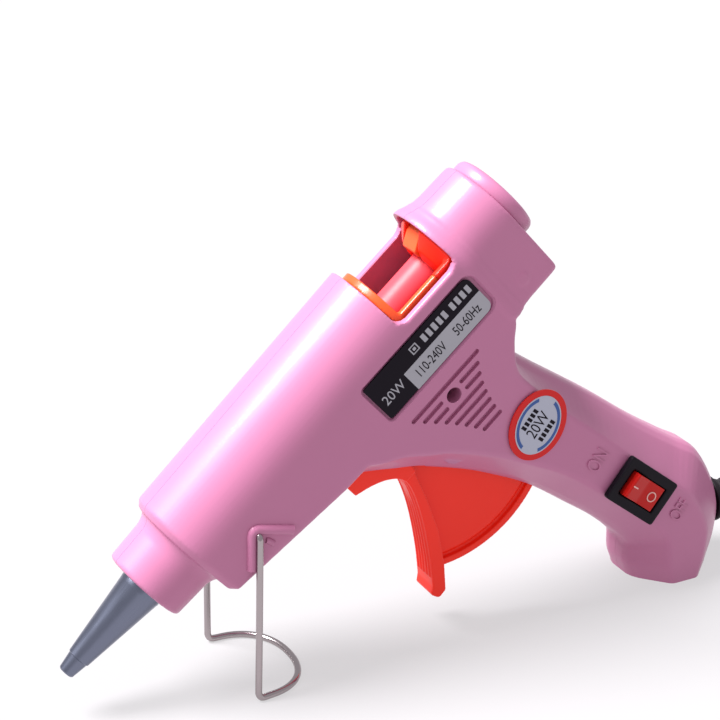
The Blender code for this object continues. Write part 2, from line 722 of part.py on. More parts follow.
cord_clamp = add("cord_clamp", box(CLAMP_X - 2, CLAMP_X + 2, -4.9, -2.8, 5.4, 22.0), BLACK_PLASTIC, frame=floor)
clamp_holes = [helper("clamp_hole", prism(disc(CLAMP_X, z, 1.1, 10), -9, 0), floor) for z in CLAMP_SCREW_Z]
cut(cord_clamp, "DIFFERENCE", clamp_holes)
relief = [
    (145.7, 5.2),
    (147.2, 5.2),
    (147.2, 4.0),
    (151.9, 4.0),
    (151.9, 5.9),
    (153.4, 5.9),
    (153.4, 4.7),
    (181.0, 3.2),
]
add("strain_relief", turned(relief, 20, "x", (0, 0, CORD_Z)), PVC, frame=floor)
screw_profile = [(-6.4, 1.7), (-5.2, 1.7), (-5.2, 0.8), (2.0, 0.8)]
for name, z in zip(("clamp_screw_lower", "clamp_screw_upper"), CLAMP_SCREW_Z):
    add(name, turned(screw_profile, 10, "y", (CLAMP_X, 0, z)), SCREW_STEEL, frame=floor)

wire("cord_inner", [(x, 0, CORD_Z) for x in (134.0, 139.0, 145.4)], CORD_R, PVC, floor, 2)

# Cores, in the gun's frame: heater to switch, heater to cord, and switch to cord

CORE_R = 0.6
SWITCHED_ROUTE = [
    (44.4, -1.5, 7.9),
    (49.6, -1.7, 8.2),
    (54.0, -5.0, 7.6),
    (57.6, -8.6, 4.0),
    (60.0, -9.8, -3.0),
    (63.0, -10.0, -12.0),
    (69.0, -10.0, -23.0),
    (78.0, -9.9, -34.0),
    (81.0, -9.4, -43.0),
    (85.0, -8.6, -53.0),
    (89.0, -6.2, -62.0),
    (91.0, -2.0, -69.0),
    (92.3, 1.4, -73.0),
    (92.8, 2.0, -75.8),
]
RETURN_ROUTE = [(x, -y, z) for x, y, z in SWITCHED_ROUTE[:11]]
RETURN_ROUTE += [
    (91.7, 8.6, -74.7),
    (93.0, 8.6, -83.9),
    (91.8, 5.4, -93.5),
    (90.9, 2.5, -98.2),
    (91.2, 1.1, -99.5),
]
SUPPLY_ROUTE = [
    (94.3, 2.0, -84.3),
    (94.8, 2.0, -87.3),
    (93.5, 1.4, -92.3),
    (91.6, 0.0, -96.0),
    (90.8, -1.0, -98.4),
    (91.2, -1.1, -99.5),
]
for name, route, colour in (
    ("wire_switched", SWITCHED_ROUTE, CORE_BROWN),
    ("wire_return", RETURN_ROUTE, CORE_BLUE),
    ("wire_supply", SUPPLY_ROUTE, CORE_BROWN),
):
    wire(name, smooth(route, 4.0), CORE_R, colour, gun, 1)

# Cord, its folded length and the plug, in the floor frame

CORD_ROUTE = [
    (181.3, 0.0, 13.7),
    (184.0, 0.0, 13.7),
    (187.0, -0.2, 13.6),
    (190.0, -0.8, 13.2),
    (193.0, -1.9, 12.6),
    (196.0, -3.5, 11.7),
    (199.0, -5.7, 10.5),
    (202.0, -8.4, 8.9),
    (204.5, -11.1, 7.4),
    (207.5, -13.9, 5.8),
    (210.5, -16.1, 4.5),
    (213.5, -17.9, 3.5),
    (216.5, -19.1, 2.8),
    (218.9, -19.6, 2.5),
]
wire("cord", CORD_ROUTE, CORD_R, PVC, floor, 2)


def tube(points, radius, steps=12):
    """A mesh tube along points."""
    rings = []
    for i, point in enumerate(points):
        ahead = Vector(points[min(i + 1, len(points) - 1)]) - Vector(points[max(i - 1, 0)])
        across = ahead.cross(Vector((0, 0, 1))).normalized()
        up = across.cross(ahead).normalized()
        angles = [2 * math.pi * k / steps for k in range(steps)]
        rings.append([Vector(point) + radius * (across * math.cos(a) + up * math.sin(a)) for a in angles])
    return solid(rings)


def oval_track(radius, steps=12):
    """An oval with straight sides, seen from above."""
    points = []
    for centre, start in ((HANK_FAR, -math.pi / 2), (HANK_NEAR, math.pi / 2)):
        for k in range(steps + 1):
            a = start + math.pi * k / steps
            points.append((centre + radius * math.cos(a), radius * math.sin(a)))
    return points


def layer(radius, z0, z1):
    return solid([[(x, y, z) for x, y in oval_track(radius)] for z in (z0, z1)])


hank = add("cord_hank", layer(OUTER_BEND + CORD_R, 0.0, HANK_TOP), PVC, frame=floor)
lead_in = tube([(219.6, -OUTER_BEND, CORD_R + 0.1), (HANK_NEAR, -OUTER_BEND, CORD_R + 0.1)], CORD_R)
plug_z = HANK_TOP + GAP + 6.0
last = [
    (HANK_NEAR, -INNER_BEND, 12.0),
    (240.0, -14.5, 12.8),
    (245.0, -12.3, 15.7),
    (250.0, -9.2, 19.3),
    (253.6, PLUG_Y, plug_z),
    (PLUG_X - GAP, PLUG_Y, plug_z),
]
cut(hank, "UNION", [helper("lead_in", lead_in, floor), helper("lead_out", tube(last, CORD_R), floor)])
cut(hank, "DIFFERENCE", [helper("hank_eye", layer(INNER_BEND - CORD_R, -1.0, HANK_TOP + 1.0), floor)])


def plug():
    """A flat plug with two round pins; its rear is narrower and thinner than its front."""
    sections = [(0.0, 5.0, 4.0), (5.0, 6.6, 4.6), (15.0, 12.6, 6.0), (22.0, 15.0, 6.0), (34.0, 15.0, 6.0)]
    rings = []
    for x, wide, tall in sections:
        outline = corner([(-wide, -tall), (wide, -tall), (wide, tall), (-wide, tall)], [1.8] * 4)
        rings.append([(PLUG_X + x, PLUG_Y + y, plug_z + z) for y, z in outline])
    add("plug_body", solid(rings), BLACK_PLASTIC, frame=floor)
    front = PLUG_X + 34.0 + GAP
    for name, y in (("plug_pin_left", PLUG_Y - 9.3), ("plug_pin_right", PLUG_Y + 9.3)):
        pin = [(front, 2.0), (front + 17.6, 2.0), (front + 18.8, 1.0)]
        add(name, turned(pin, 12, "x", (0, y, plug_z)), BRASS_TAB, frame=floor)


plug()
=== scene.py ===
"""Looks of a small hot-glue gun on its wire stand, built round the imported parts.

Meshes are drawn in millimetres, in the gun's frame or in the floor's, and are placed when a piece is made.
In the gun's frame x runs back along the barrel from the collar's front face, y across the gun and z up at
a right angle to the barrel. In the floor's frame z = 0 is the surface that the gun stands on.
"""

import json
import math

import bmesh
import bpy
from mathutils import Matrix, Vector


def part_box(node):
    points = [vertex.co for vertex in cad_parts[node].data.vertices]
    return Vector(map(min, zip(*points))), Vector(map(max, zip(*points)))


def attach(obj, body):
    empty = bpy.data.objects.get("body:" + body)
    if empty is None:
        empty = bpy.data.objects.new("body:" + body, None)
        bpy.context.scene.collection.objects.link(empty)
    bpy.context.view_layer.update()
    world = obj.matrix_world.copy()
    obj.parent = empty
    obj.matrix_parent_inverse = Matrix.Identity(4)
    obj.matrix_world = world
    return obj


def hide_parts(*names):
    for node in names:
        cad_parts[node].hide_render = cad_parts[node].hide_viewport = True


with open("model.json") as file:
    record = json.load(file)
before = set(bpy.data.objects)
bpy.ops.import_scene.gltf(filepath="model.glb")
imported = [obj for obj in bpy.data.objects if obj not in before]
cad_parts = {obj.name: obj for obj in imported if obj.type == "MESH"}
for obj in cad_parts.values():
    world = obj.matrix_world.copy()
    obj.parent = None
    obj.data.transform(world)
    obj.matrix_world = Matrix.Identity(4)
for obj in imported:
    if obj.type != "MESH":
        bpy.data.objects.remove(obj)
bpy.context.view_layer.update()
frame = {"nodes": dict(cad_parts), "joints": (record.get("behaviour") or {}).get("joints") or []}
MM = 0.001
SCENE = bpy.context.scene.collection


# Frames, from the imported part


def joint(name):
    return next(found for found in frame["joints"] if found["name"] == name)


def placing(x_axis, z_axis, origin):
    """A matrix from millimetres in a frame to the row's metres."""
    y_axis = z_axis.cross(x_axis)
    columns = Matrix((x_axis, y_axis, z_axis)).transposed().to_4x4()
    return Matrix.Translation(origin * MM) @ columns @ Matrix.Scale(MM, 4)


PIVOT = (69.5, -33.5)  # trigger's pivot in the gun's frame
STAND_PIVOT = (25.9, -3.9)
CLAMP_PIVOT = (103.2, 8.0)
CORD_HEIGHT = 13.7  # of the cord's way out, in the floor's frame
RELIEF_END = 181.0
SPRING_HEIGHT = -12.6  # of the return spring's axis, in the gun's frame

relief_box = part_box("strain_relief")
FLOOR_ORIGIN = Vector((relief_box[1].x / MM - RELIEF_END, (relief_box[0].y + relief_box[1].y) / 2 / MM, 0))
FLOOR = placing(Vector((1, 0, 0)), Vector((0, 0, 1)), FLOOR_ORIGIN)

back = -Vector(joint("carriage_slide")["axis"]).normalized()
upward = Vector((-back.z, 0, back.x))
nose = Vector(joint("trigger_pull")["pos_m"]) / MM - back * PIVOT[0] - upward * PIVOT[1]
GUN = placing(back, upward, nose)
LEAN = math.radians(80)
SWITCH_AT = (93.55, -80.05)
SWITCH = GUN @ Matrix.Translation((SWITCH_AT[0], 0, SWITCH_AT[1])) @ Matrix.Rotation(LEAN, 4, "Y")
TILT = math.atan2(back.z, back.x)


def to_gun(x, z):
    """The gun-frame x and z of a place in the floor frame."""
    place = GUN.inverted() @ FLOOR @ Vector((x, 0, z))
    return place.x, place.z


# Camera


def camera():
    azimuth, elevation, reach = math.radians(-27.145), math.radians(23.617), 0.4787
    aim = (FLOOR_ORIGIN + Vector((53.19, 0, 72.53))) * MM
    away = Vector((math.sin(azimuth), -math.cos(azimuth), 0)) * math.cos(elevation)
    away.z = math.sin(elevation)
    data = bpy.data.cameras.new("camera")
    data.lens = 105.9
    data.sensor_width = 36
    data.clip_start = 0.01
    eye = bpy.data.objects.new("camera", data)
    eye.location = aim + away * reach
    eye.rotation_euler = (-away).to_track_quat("-Z", "Y").to_euler()
    SCENE.objects.link(eye)
    bpy.context.scene.camera = eye


camera()


# Finishes


class Socket:
    """A node's value; Python's operators on it add Math nodes."""

    def __init__(self, finish, output):
        self.finish = finish
        self.output = output

    def math(self, operation, *values):
        return self.finish.node("ShaderNodeMath", {"operation": operation}, *values)

    def __add__(self, other):
        return self.math("ADD", self, other)

    def __rsub__(self, other):
        return self.math("SUBTRACT", other, self)

    def __mul__(self, other):
        return self.math("MULTIPLY", self, other)

    __radd__ = __add__
    __rmul__ = __mul__


class Finish:
    """A material with one Principled shader."""

    def __init__(self, name, colour, roughness, metallic=0.0, coat=0.0, gloss=0.5):
        self.material = bpy.data.materials.new(name)
        self.material.use_nodes = True
        self.tree = self.material.node_tree
        self.shader = self.tree.nodes["Principled BSDF"]
        self.shader.inputs["Base Color"].default_value = (*colour, 1)
        self.shader.inputs["Roughness"].default_value = roughness
        self.shader.inputs["Metallic"].default_value = metallic
        self.shader.inputs["Coat Weight"].default_value = coat
        self.shader.inputs["Coat Roughness"].default_value = 0.12
        self.shader.inputs["Specular IOR Level"].default_value = gloss

    def node(self, kind, settings, *values, out=0, **named):
        made = self.tree.nodes.new(kind)
        for key, value in settings.items():
            setattr(made, key, value)
        for key, value in [*enumerate(values), *named.items()]:
            socket = made.inputs[key.replace("_", " ") if isinstance(key, str) else key]
            if isinstance(value, Socket):
                self.tree.links.new(value.output, socket)
            else:
                socket.default_value = value
        return Socket(self, made.outputs[out])

    def feed(self, name, value):
        self.tree.links.new(value.output, self.shader.inputs[name])

    def place(self, stretch=(1, 1, 1), turn=0.0):
        """Object coordinates, turned about Y and stretched."""
        where = self.node("ShaderNodeTexCoord", {}, out="Object")
        turned = self.node("ShaderNodeMapping", {}, where, Rotation=(0, turn, 0))
        return self.node("ShaderNodeMapping", {}, turned, Scale=stretch)

    def noise(self, scale, detail, where):
        return self.node("ShaderNodeTexNoise", {}, Vector=where, Scale=scale, Detail=detail)

    def mix(self, factor, dark, light):
        mixed = self.node("ShaderNodeMix", {"data_type": "RGBA"}, Factor=factor, out=2)
        sockets = mixed.output.node.inputs
        sockets[6].default_value = (*dark, 1)
        sockets[7].default_value = (*light, 1)
        return mixed

    def bump(self, height, strength, distance):
        made = self.node("ShaderNodeBump", {}, Strength=strength, Distance=distance, Height=height)
        self.feed("Normal", made)


def plastic(name, colour, roughness, coat=0.0, grain=0.12, gloss=0.4):
    """Moulded plastic: a faint mottle in its colour and a fine grain."""
    finish = Finish(name, colour, roughness, 0.0, coat, gloss)
    where = finish.place()
    mottle = finish.noise(60.0, 3.0, where)
    dark, light = [c * 0.96 for c in colour], [min(c * 1.03, 1) for c in colour]
    finish.feed("Base Color", finish.mix(mottle, dark, light))
    fine = finish.noise(900.0, 2.0, where)
    finish.feed("Roughness", fine * 0.08 + (roughness - 0.04))
    finish.bump(finish.noise(2200.0, 1.0, where), grain, 0.00003)
    return finish.material


def metal(name, colour, roughness, stretch=(1, 1, 1), turn=0.0, grain=0.2):
    """Bare or plated metal, with fine tool lines where it is stretched."""
    finish = Finish(name, colour, roughness, 1.0)
    where = finish.place(stretch, turn)
    lines = finish.noise(700.0, 3.0, where)
    finish.feed("Roughness", lines * 0.16 + (roughness - 0.08))
    finish.bump(lines, grain, 0.00004)
    return finish.material


PINK = plastic("pink_plastic", (0.485, 0.165, 0.30), 0.40, coat=0.12, gloss=0.35)
RED = plastic("red_plastic", (0.96, 0.026, 0.010), 0.34, coat=0.06, gloss=0.25)
# carriage_orange is the carriage's plastic painted as lit; its painted shade is red_plastic on the carriage's
# mouth.
CARRIAGE = plastic("carriage_orange", (0.80, 0.085, 0.018), 0.34, coat=0.10, gloss=0.35)
SILICONE = plastic("silicone", (0.85, 0.060, 0.085), 0.42, gloss=0.3)
ALUMINIUM = metal("aluminium", (0.17, 0.185, 0.25), 0.30, (0.06, 1, 1), TILT, 0.5)
PLATED = metal("plated_wire", (0.40, 0.35, 0.36), 0.22, grain=0.06)
STEEL = metal("screw_steel", (0.20, 0.14, 0.13), 0.34)
SPRING = metal("spring_steel", (0.50, 0.49, 0.48), 0.28)
BLACK = plastic("black_plastic", (0.008, 0.006, 0.010), 0.42, gloss=0.10)
ROCKER = plastic("rocker_red", (0.48, 0.008, 0.006), 0.30, grain=0.04, gloss=0.18)
CORD = plastic("cord_pvc", (0.012, 0.009, 0.012), 0.5, grain=0.25, gloss=0.2)
FOIL_BLACK = plastic("foil_black", (0.006, 0.003, 0.008), 0.30, grain=0.02, gloss=0.10)
FOIL_SILVER = plastic("foil_silver", (0.36, 0.35, 0.39), 0.34, grain=0.02, gloss=0.3)
BADGE_RED = plastic("badge_red", (0.62, 0.014, 0.014), 0.30, grain=0.02, gloss=0.2)
BADGE_SILVER = plastic("badge_silver", (0.42, 0.43, 0.52), 0.26, grain=0.02, gloss=0.3)
BADGE_BLUE = plastic("badge_blue", (0.045, 0.100, 0.300), 0.30, grain=0.02, gloss=0.2)
PALE = plastic("pale_mark", (0.75, 0.42, 0.38), 0.40, grain=0.02)
CERAMIC = plastic("ceramic", (0.84, 0.82, 0.76), 0.65)
BRASS = metal("brass", (0.72, 0.50, 0.20), 0.30)
NICKEL = metal("pin_nickel", (0.66, 0.64, 0.60), 0.24, grain=0.08)
CORE_BLUE = plastic("core_blue", (0.02, 0.10, 0.42), 0.45)
CORE_BROWN = plastic("core_brown", (0.16, 0.06, 0.02), 0.45)
TIE = plastic("tie_white", (0.75, 0.75, 0.73), 0.5)


# Shapes


def mesh_of(shape, turn=True):
    if turn:
        bmesh.ops.recalc_face_normals(shape, faces=shape.faces)
    mesh = bpy.data.meshes.new("shape")
    shape.to_mesh(mesh)
    shape.free()
    return mesh


def loft(rings):
    """A closed mesh through rings of equal point counts."""
    shape = bmesh.new()
    loops = [[shape.verts.new(point) for point in ring] for ring in rings]
    for near, far in zip(loops, loops[1:]):
        for i in range(len(near)):
            j = (i + 1) % len(near)
            shape.faces.new((near[i], near[j], far[j], far[i]))
    shape.faces.new(loops[0][::-1])
    shape.faces.new(loops[-1])
    return mesh_of(shape)


def prism(outline, y0, y1):
    return loft([[(x, y, z) for x, z in outline] for y in (y0, y1)])


def box(x0, x1, y0, y1, z0, z1):
    return prism([(x0, z0), (x1, z0), (x1, z1), (x0, z1)], y0, y1)


def lathe(profile, steps=96, along="x", centre=(0, 0, 0)):
    """A turned shape from a closed profile of (place along the axis, radius)."""
    shape = bmesh.new()
    rings = []
    for k in range(steps):
        angle = 2 * math.pi * k / steps
        c, s = math.cos(angle), math.sin(angle)
        ring = []
        for a, r in profile:
            place = {"x": (a, r * c, r * s), "y": (r * s, a, r * c), "z": (r * c, r * s, a)}[along]
            ring.append(shape.verts.new(Vector(place) + Vector(centre)))
        rings.append(ring)
    for k in range(steps):
        near, far = rings[k], rings[(k + 1) % steps]
        for i in range(len(profile)):
            j = (i + 1) % len(profile)
            shape.faces.new((near[i], near[j], far[j], far[i]))
    bmesh.ops.remove_doubles(shape, verts=shape.verts, dist=0.0005)
    bmesh.ops.dissolve_degenerate(shape, edges=shape.edges, dist=0.0005)
    return mesh_of(shape)


def rod(x0, x1, radius, steps=48, along="x", centre=(0, 0, 0)):
    return lathe([(x0, 0), (x0, radius), (x1, radius), (x1, 0)], steps, along, centre)


def eased(outline, radii, steps=5):
    """The outline with its corners rounded; one radius for each point, or one for all."""
    radii = [radii] * len(outline) if isinstance(radii, (int, float)) else radii
    points = []
    for i, (x, z) in enumerate(outline):
        here = Vector((x, z))
        behind = (Vector(outline[i - 1]) - here).normalized()
        ahead = (Vector(outline[(i + 1) % len(outline)]) - here).normalized()
        half = behind.angle(ahead) / 2
        if radii[i] == 0 or half > 1.55:
            points.append((x, z))
            continue
        reach = radii[i] / math.tan(half)
        middle = here + (behind + ahead).normalized() * radii[i] / math.sin(half)
        start, end = here + behind * reach - middle, here + ahead * reach - middle
        for k in range(steps + 1):
            step = start.lerp(end, k / steps).normalized() * radii[i]
            points.append(tuple(middle + step))
    return points


def disc(x, z, radius, steps=40):
    angles = [2 * math.pi * k / steps for k in range(steps)]
    return [(x + radius * math.cos(a), z + radius * math.sin(a)) for a in angles]


def oval(x, z, long, short, lean, steps=72):
    c, s = math.cos(lean), math.sin(lean)
    points = []
    for k in range(steps):
        a = 2 * math.pi * k / steps
        u, v = long * math.cos(a), short * math.sin(a)
        points.append((x + u * c - v * s, z + u * s + v * c))
    return points


def catmull(a, b, c, d, t):
    """The point at t between b and c of a curve through a, b, c and d; numbers or vectors."""
    bend = (2 * a - 5 * b + 4 * c - d) * t**2 + (3 * b - a - 3 * c + d) * t**3
    return 0.5 * (2 * b + (c - a) * t + bend)


def smooth(route, spacing):
    """Points about evenly spaced on a Catmull-Rom curve through the route."""
    knots = [Vector(p) for p in route]
    knots = [2 * knots[0] - knots[1]] + knots + [2 * knots[-1] - knots[-2]]
    fine = []
    for a, b, c, d in zip(knots, knots[1:], knots[2:], knots[3:]):
        for k in range(20):
            fine.append(catmull(a, b, c, d, k / 20))
    fine.append(knots[-2])
    kept = [fine[0]]
    for point in fine[1:-1]:
        if (point - kept[-1]).length >= spacing:
            kept.append(point)
    if (fine[-1] - kept[-1]).length < spacing / 2:
        kept.pop()
    return kept + [fine[-1]]


def tube(points, radius, steps=20):
    """A mesh tube along points, with closed ends."""
    points = [Vector(p) for p in points]
    rings = []
    side = None
    for i, point in enumerate(points):
        ahead = (points[min(i + 1, len(points) - 1)] - points[max(i - 1, 0)]).normalized()
        if side is None:
            side = ahead.orthogonal().normalized()
        side = (side - ahead * side.dot(ahead)).normalized()
        up = ahead.cross(side)
        angles = [2 * math.pi * k / steps for k in range(steps)]
        rings.append([point + radius * (side * math.cos(a) + up * math.sin(a)) for a in angles])
    return loft(rings)


def loose(mesh):
    made = bpy.data.objects.new("loose", mesh)
    SCENE.objects.link(made)
    return made


def settled(obj):
    """The object's mesh with its modifiers applied; the object is removed."""
    graph = bpy.context.evaluated_depsgraph_get()
    mesh = bpy.data.meshes.new_from_object(obj.evaluated_get(graph))
    bpy.data.objects.remove(obj)
    return mesh


class Growth:
    """A Geometry Nodes tree with named sizes, grown on a mesh."""

    node = Finish.node

    def __init__(self, name, **sizes):
        self.tree = bpy.data.node_groups.new(name, "GeometryNodeTree")
        self.sizes = sizes
        self.tree.interface.new_socket("Geometry", in_out="INPUT", socket_type="NodeSocketGeometry")
        for label, value in sizes.items():
            kind = "NodeSocketInt" if isinstance(value, int) else "NodeSocketFloat"
            self.tree.interface.new_socket(label, in_out="INPUT", socket_type=kind)
        self.tree.interface.new_socket("Geometry", in_out="OUTPUT", socket_type="NodeSocketGeometry")
        self.given = self.tree.nodes.new("NodeGroupInput")

    def size(self, label):
        return Socket(self, self.given.outputs[label])

    def wire(self, path, radius, sides):
        """A round wire along a curve."""
        round_off = self.node("GeometryNodeCurvePrimitiveCircle", {}, Resolution=sides, Radius=radius)
        return self.node("GeometryNodeCurveToMesh", {}, path, Profile_Curve=round_off, Fill_Caps=True)

    def grown(self, geometry, material, points=()):
        real = self.node("GeometryNodeRealizeInstances", {}, geometry)
        dressed = self.node("GeometryNodeSetMaterial", {}, real, Material=material)
        end = self.tree.nodes.new("NodeGroupOutput")
        self.tree.links.new(dressed.output, end.inputs[0])
        seed = bpy.data.meshes.new("seed")
        seed.from_pydata([tuple(p) for p in points], [(k, k + 1) for k in range(len(points) - 1)], [])
        body = loose(seed)
        grow = body.modifiers.new("Grow", "NODES")
        grow.node_group = self.tree
        for item in self.tree.interface.items_tree:
            if item.in_out == "INPUT" and item.name in self.sizes:
                grow[item.identifier] = self.sizes[item.name]
        return settled(body)


def merged(meshes):
    """One mesh that holds all of these, still overlapping."""
    whole = bmesh.new()
    for mesh in meshes:
        whole.from_mesh(mesh)
    return mesh_of(whole, turn=False)


def carve(base, *steps, add=(), voxel=0.0, passes=2, keep=1.0, then=()):
    """Booleans, then an even remesh that fuses what is added and softens every edge, then crisp Booleans."""

    def combine(mesh, operation, meshes):
        body = loose(mesh)
        helpers = []
        group = bpy.data.collections.new(operation)
        for tool in meshes:
            helpers.append(bpy.data.objects.new("helper", tool))
            group.objects.link(helpers[-1])
        modifier = body.modifiers.new(operation, "BOOLEAN")
        modifier.operation = operation
        modifier.operand_type = "COLLECTION"
        modifier.collection = group
        mesh = settled(body)
        for helper in helpers:
            bpy.data.objects.remove(helper)
        return mesh

    mesh = base
    for operation, meshes in steps:
        mesh = combine(mesh, operation, meshes)
    if add:
        mesh = merged([mesh, *add])
    if voxel:
        body = loose(mesh)
        remesh = body.modifiers.new("Even", "REMESH")
        remesh.mode = "VOXEL"
        remesh.voxel_size = voxel * 1.0
        soften = body.modifiers.new("Soften", "SMOOTH")
        soften.factor = 0.5
        soften.iterations = passes
        if keep < 1:
            thin = body.modifiers.new("Thin", "DECIMATE")
            thin.ratio = keep
        mesh = settled(body)
    for operation, meshes in then:
        mesh = combine(mesh, operation, meshes)
    return mesh


def piece(name, parts, body, nodes=(), place=GUN, sharp=35):
    """One piece of the object from (mesh, material) pairs."""
    parts = parts if isinstance(parts, list) else [parts]
    whole = bmesh.new()
    materials = []
    for mesh, material in parts:
        if material not in materials:
            materials.append(material)
        for face in mesh.polygons:
            face.material_index = materials.index(material)
        whole.from_mesh(mesh)
    mesh = bpy.data.meshes.new(name)
    whole.to_mesh(mesh)
    whole.free()
    mesh.transform(place)
    for material in materials:
        mesh.materials.append(material)
    mesh.shade_smooth()
    mesh.set_sharp_from_angle(angle=math.radians(sharp))
    made = bpy.data.objects.new(name, mesh)
    SCENE.objects.link(made)
    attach(made, body)
    if nodes:
        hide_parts(*nodes)
    return made


def repaint(node, material):
    """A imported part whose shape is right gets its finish."""
    mesh = frame["nodes"][node].data
    mesh.materials.clear()
    mesh.materials.append(material)


# Cord, tie and plug

CORD_RADIUS = 2.4
CORD_START = [
    (181.3, 0.0, CORD_HEIGHT),
    (184.0, 0.0, CORD_HEIGHT),
    (187.0, -0.2, 13.6),
    (190.0, -0.8, 13.2),
    (193.0, -1.9, 12.6),
    (196.0, -3.5, 11.7),
    (199.0, -5.7, 10.5),
    (202.0, -8.4, 8.9),
    (204.5, -11.1, 7.4),
    (207.5, -13.9, 5.8),
    (210.5, -16.1, 4.5),
    (213.5, -17.9, 3.5),
    (216.5, -19.1, 2.8),
    (218.9, -19.6, 2.5),
    (226.5, -19.8, 2.4),
]
CORD_END = [
    (240.0, -14.5, 12.8),
    (245.0, -12.3, 15.7),
    (250.0, -9.2, 19.3),
    (253.6, -8.0, 20.7),
    (257.2, -8.0, 20.7),
]
HANK_NEAR, HANK_FAR = 234.5, 260.5
HANK_TURNS = [(19.8, 2.4), (15.0, 2.4), (15.0, 7.2), (19.8, 7.2), (19.8, 12.0), (15.0, 12.0)]
STRAIGHT, BEND = 4, 8
PLUG_START, PLUG_MIDDLE, PLUG_HEIGHT = 257.5, -8.0, 20.7


def hank():
    """Six turns, three layers of two, each turn rising or stepping over to the next on its last fold."""
    points = []
    for turn, (radius, height) in enumerate(HANK_TURNS):
        after = HANK_TURNS[turn + 1] if turn + 1 < len(HANK_TURNS) else (radius, height)
        for k in range(STRAIGHT):
            points.append((HANK_NEAR + (HANK_FAR - HANK_NEAR) * k / STRAIGHT, -radius, height))
        for k in range(BEND):
            a = math.pi * k / BEND
            points.append((HANK_FAR + radius * math.sin(a), -radius * math.cos(a), height))
        for k in range(STRAIGHT):
            points.append((HANK_FAR + (HANK_NEAR - HANK_FAR) * k / STRAIGHT, radius, height))
        for k in range(BEND):
            a = math.pi * k / BEND
            ease = 0.5 - 0.5 * math.cos(a)
            reach = radius + (after[0] - radius) * ease
            rise = height + (after[1] - height) * ease
            points.append((HANK_NEAR - reach * math.sin(a), reach * math.cos(a), rise))
    return points + [(HANK_NEAR, -HANK_TURNS[-1][0], HANK_TURNS[-1][1])]


def plug():
    """A moulded body that swells from its cord end, with grip ribs on its flanks."""
    sections = [(0, 5.0, 4.0), (1.2, 5.5, 4.4), (5, 6.6, 4.6), (10, 9.4, 5.3), (15, 12.6, 5.9)]
    sections += [(19, 14.4, 6.0)]
    sections += [(22, 15.0, 6.0), (33, 15.0, 6.0), (33.7, 14.7, 5.7), (34.0, 14.2, 5.2)]
    rings = []
    for x, wide, tall in sections:
        outline = eased([(-wide, -tall), (wide, -tall), (wide, tall), (-wide, tall)], 2.2)
        rings.append([(PLUG_START + x, y + PLUG_MIDDLE, z + PLUG_HEIGHT) for y, z in outline])
    cuts = []
    for side in (-1, 1):
        for k in range(5):
            x = PLUG_START + 22.5 + 2.2 * k
            y0, y1 = sorted((side * 14.5 + PLUG_MIDDLE, side * 17.0 + PLUG_MIDDLE))
            cuts.append(box(x, x + 1.0, y0, y1, 16.6, 24.8))
    return carve(loft(rings), ("DIFFERENCE", cuts), voxel=0.3, passes=3, keep=0.4)


def pin(y):
    """A round pin with a domed end."""
    profile = [(291.8, 2.0), (309.2, 2.0), (310.0, 1.7), (310.6, 1.0), (310.6, 0.0), (291.8, 0.0)]
    return lathe(profile, 40, "x", (0, y, PLUG_HEIGHT))


def tie():
    """A flat strap round the near runs of the hank."""
    low, high = 0.25, 14.9
    middle = -(HANK_TURNS[0][0] + HANK_TURNS[1][0]) / 2
    rings = []
    for half_width, x in ((4.95, 245.2), (4.95, 248.4)):
        outline = eased([(-half_width, low), (half_width, low), (half_width, high), (-half_width, high)], 2.3)
        rings.append([(x, y + middle, z) for y, z in outline])
    inner = []
    for x in (244.0, 250.0):
        outline = eased([(-4.35, 0.7), (4.35, 0.7), (4.35, 14.45), (-4.35, 14.45)], 1.9)
        inner.append([(x, y + middle, z) for y, z in outline])
    return carve(loft(rings), ("DIFFERENCE", [loft(inner)]))


def cord():
    points = smooth(CORD_START + hank() + CORD_END, 1.2)
    length = sum((b - a).length for a, b in zip(points, points[1:])) * MM
    run = (tube(points, CORD_RADIUS, 16), CORD)
    lead = piece("supply_cord", run, "housing", ["cord", "cord_hank"], FLOOR)
    body = piece("plug", (plug(), BLACK), "housing", ["plug_body"], FLOOR)
    pins = [
        piece("pin_" + side, (pin(y), NICKEL), "housing", ["plug_pin_" + side], FLOOR)
        for side, y in (("left", -17.3), ("right", 1.3))
    ]
    strap = piece("hank_tie", (tie(), TIE), "housing", [], FLOOR)
    [tuple(FLOOR @ point) for point in points]


cord()


# Housing

WALL = 2.0
HALF = 13.85  # half the housing's width
SEAM = 0.03  # half the line between the two shells
SCREWS = {"front": (78.2, -18.9), "rear": (86.9, -42.6)}
SCREW_SEAT = -8.0
READ = math.radians(10)  # the line on which the handle and the badge are read


def barrel_ring(x, half, top, low, inset, arc=36):
    """A half round above, with its centre at z = top, over a box with soft lower corners."""
    r = half - inset
    floor = low + inset
    soft = max(2.0 - inset, 0.4)
    ring = [(x, r * math.cos(a), top + r * math.sin(a)) for a in (math.pi * k / arc for k in range(arc + 1))]
    for middle, start in ((-r + soft, math.pi), (r - soft, 1.5 * math.pi)):
        for k in range(6):
            a = start + k / 5 * math.pi / 2
            ring.append((x, middle + soft * math.cos(a), floor + soft + soft * math.sin(a)))
    return ring


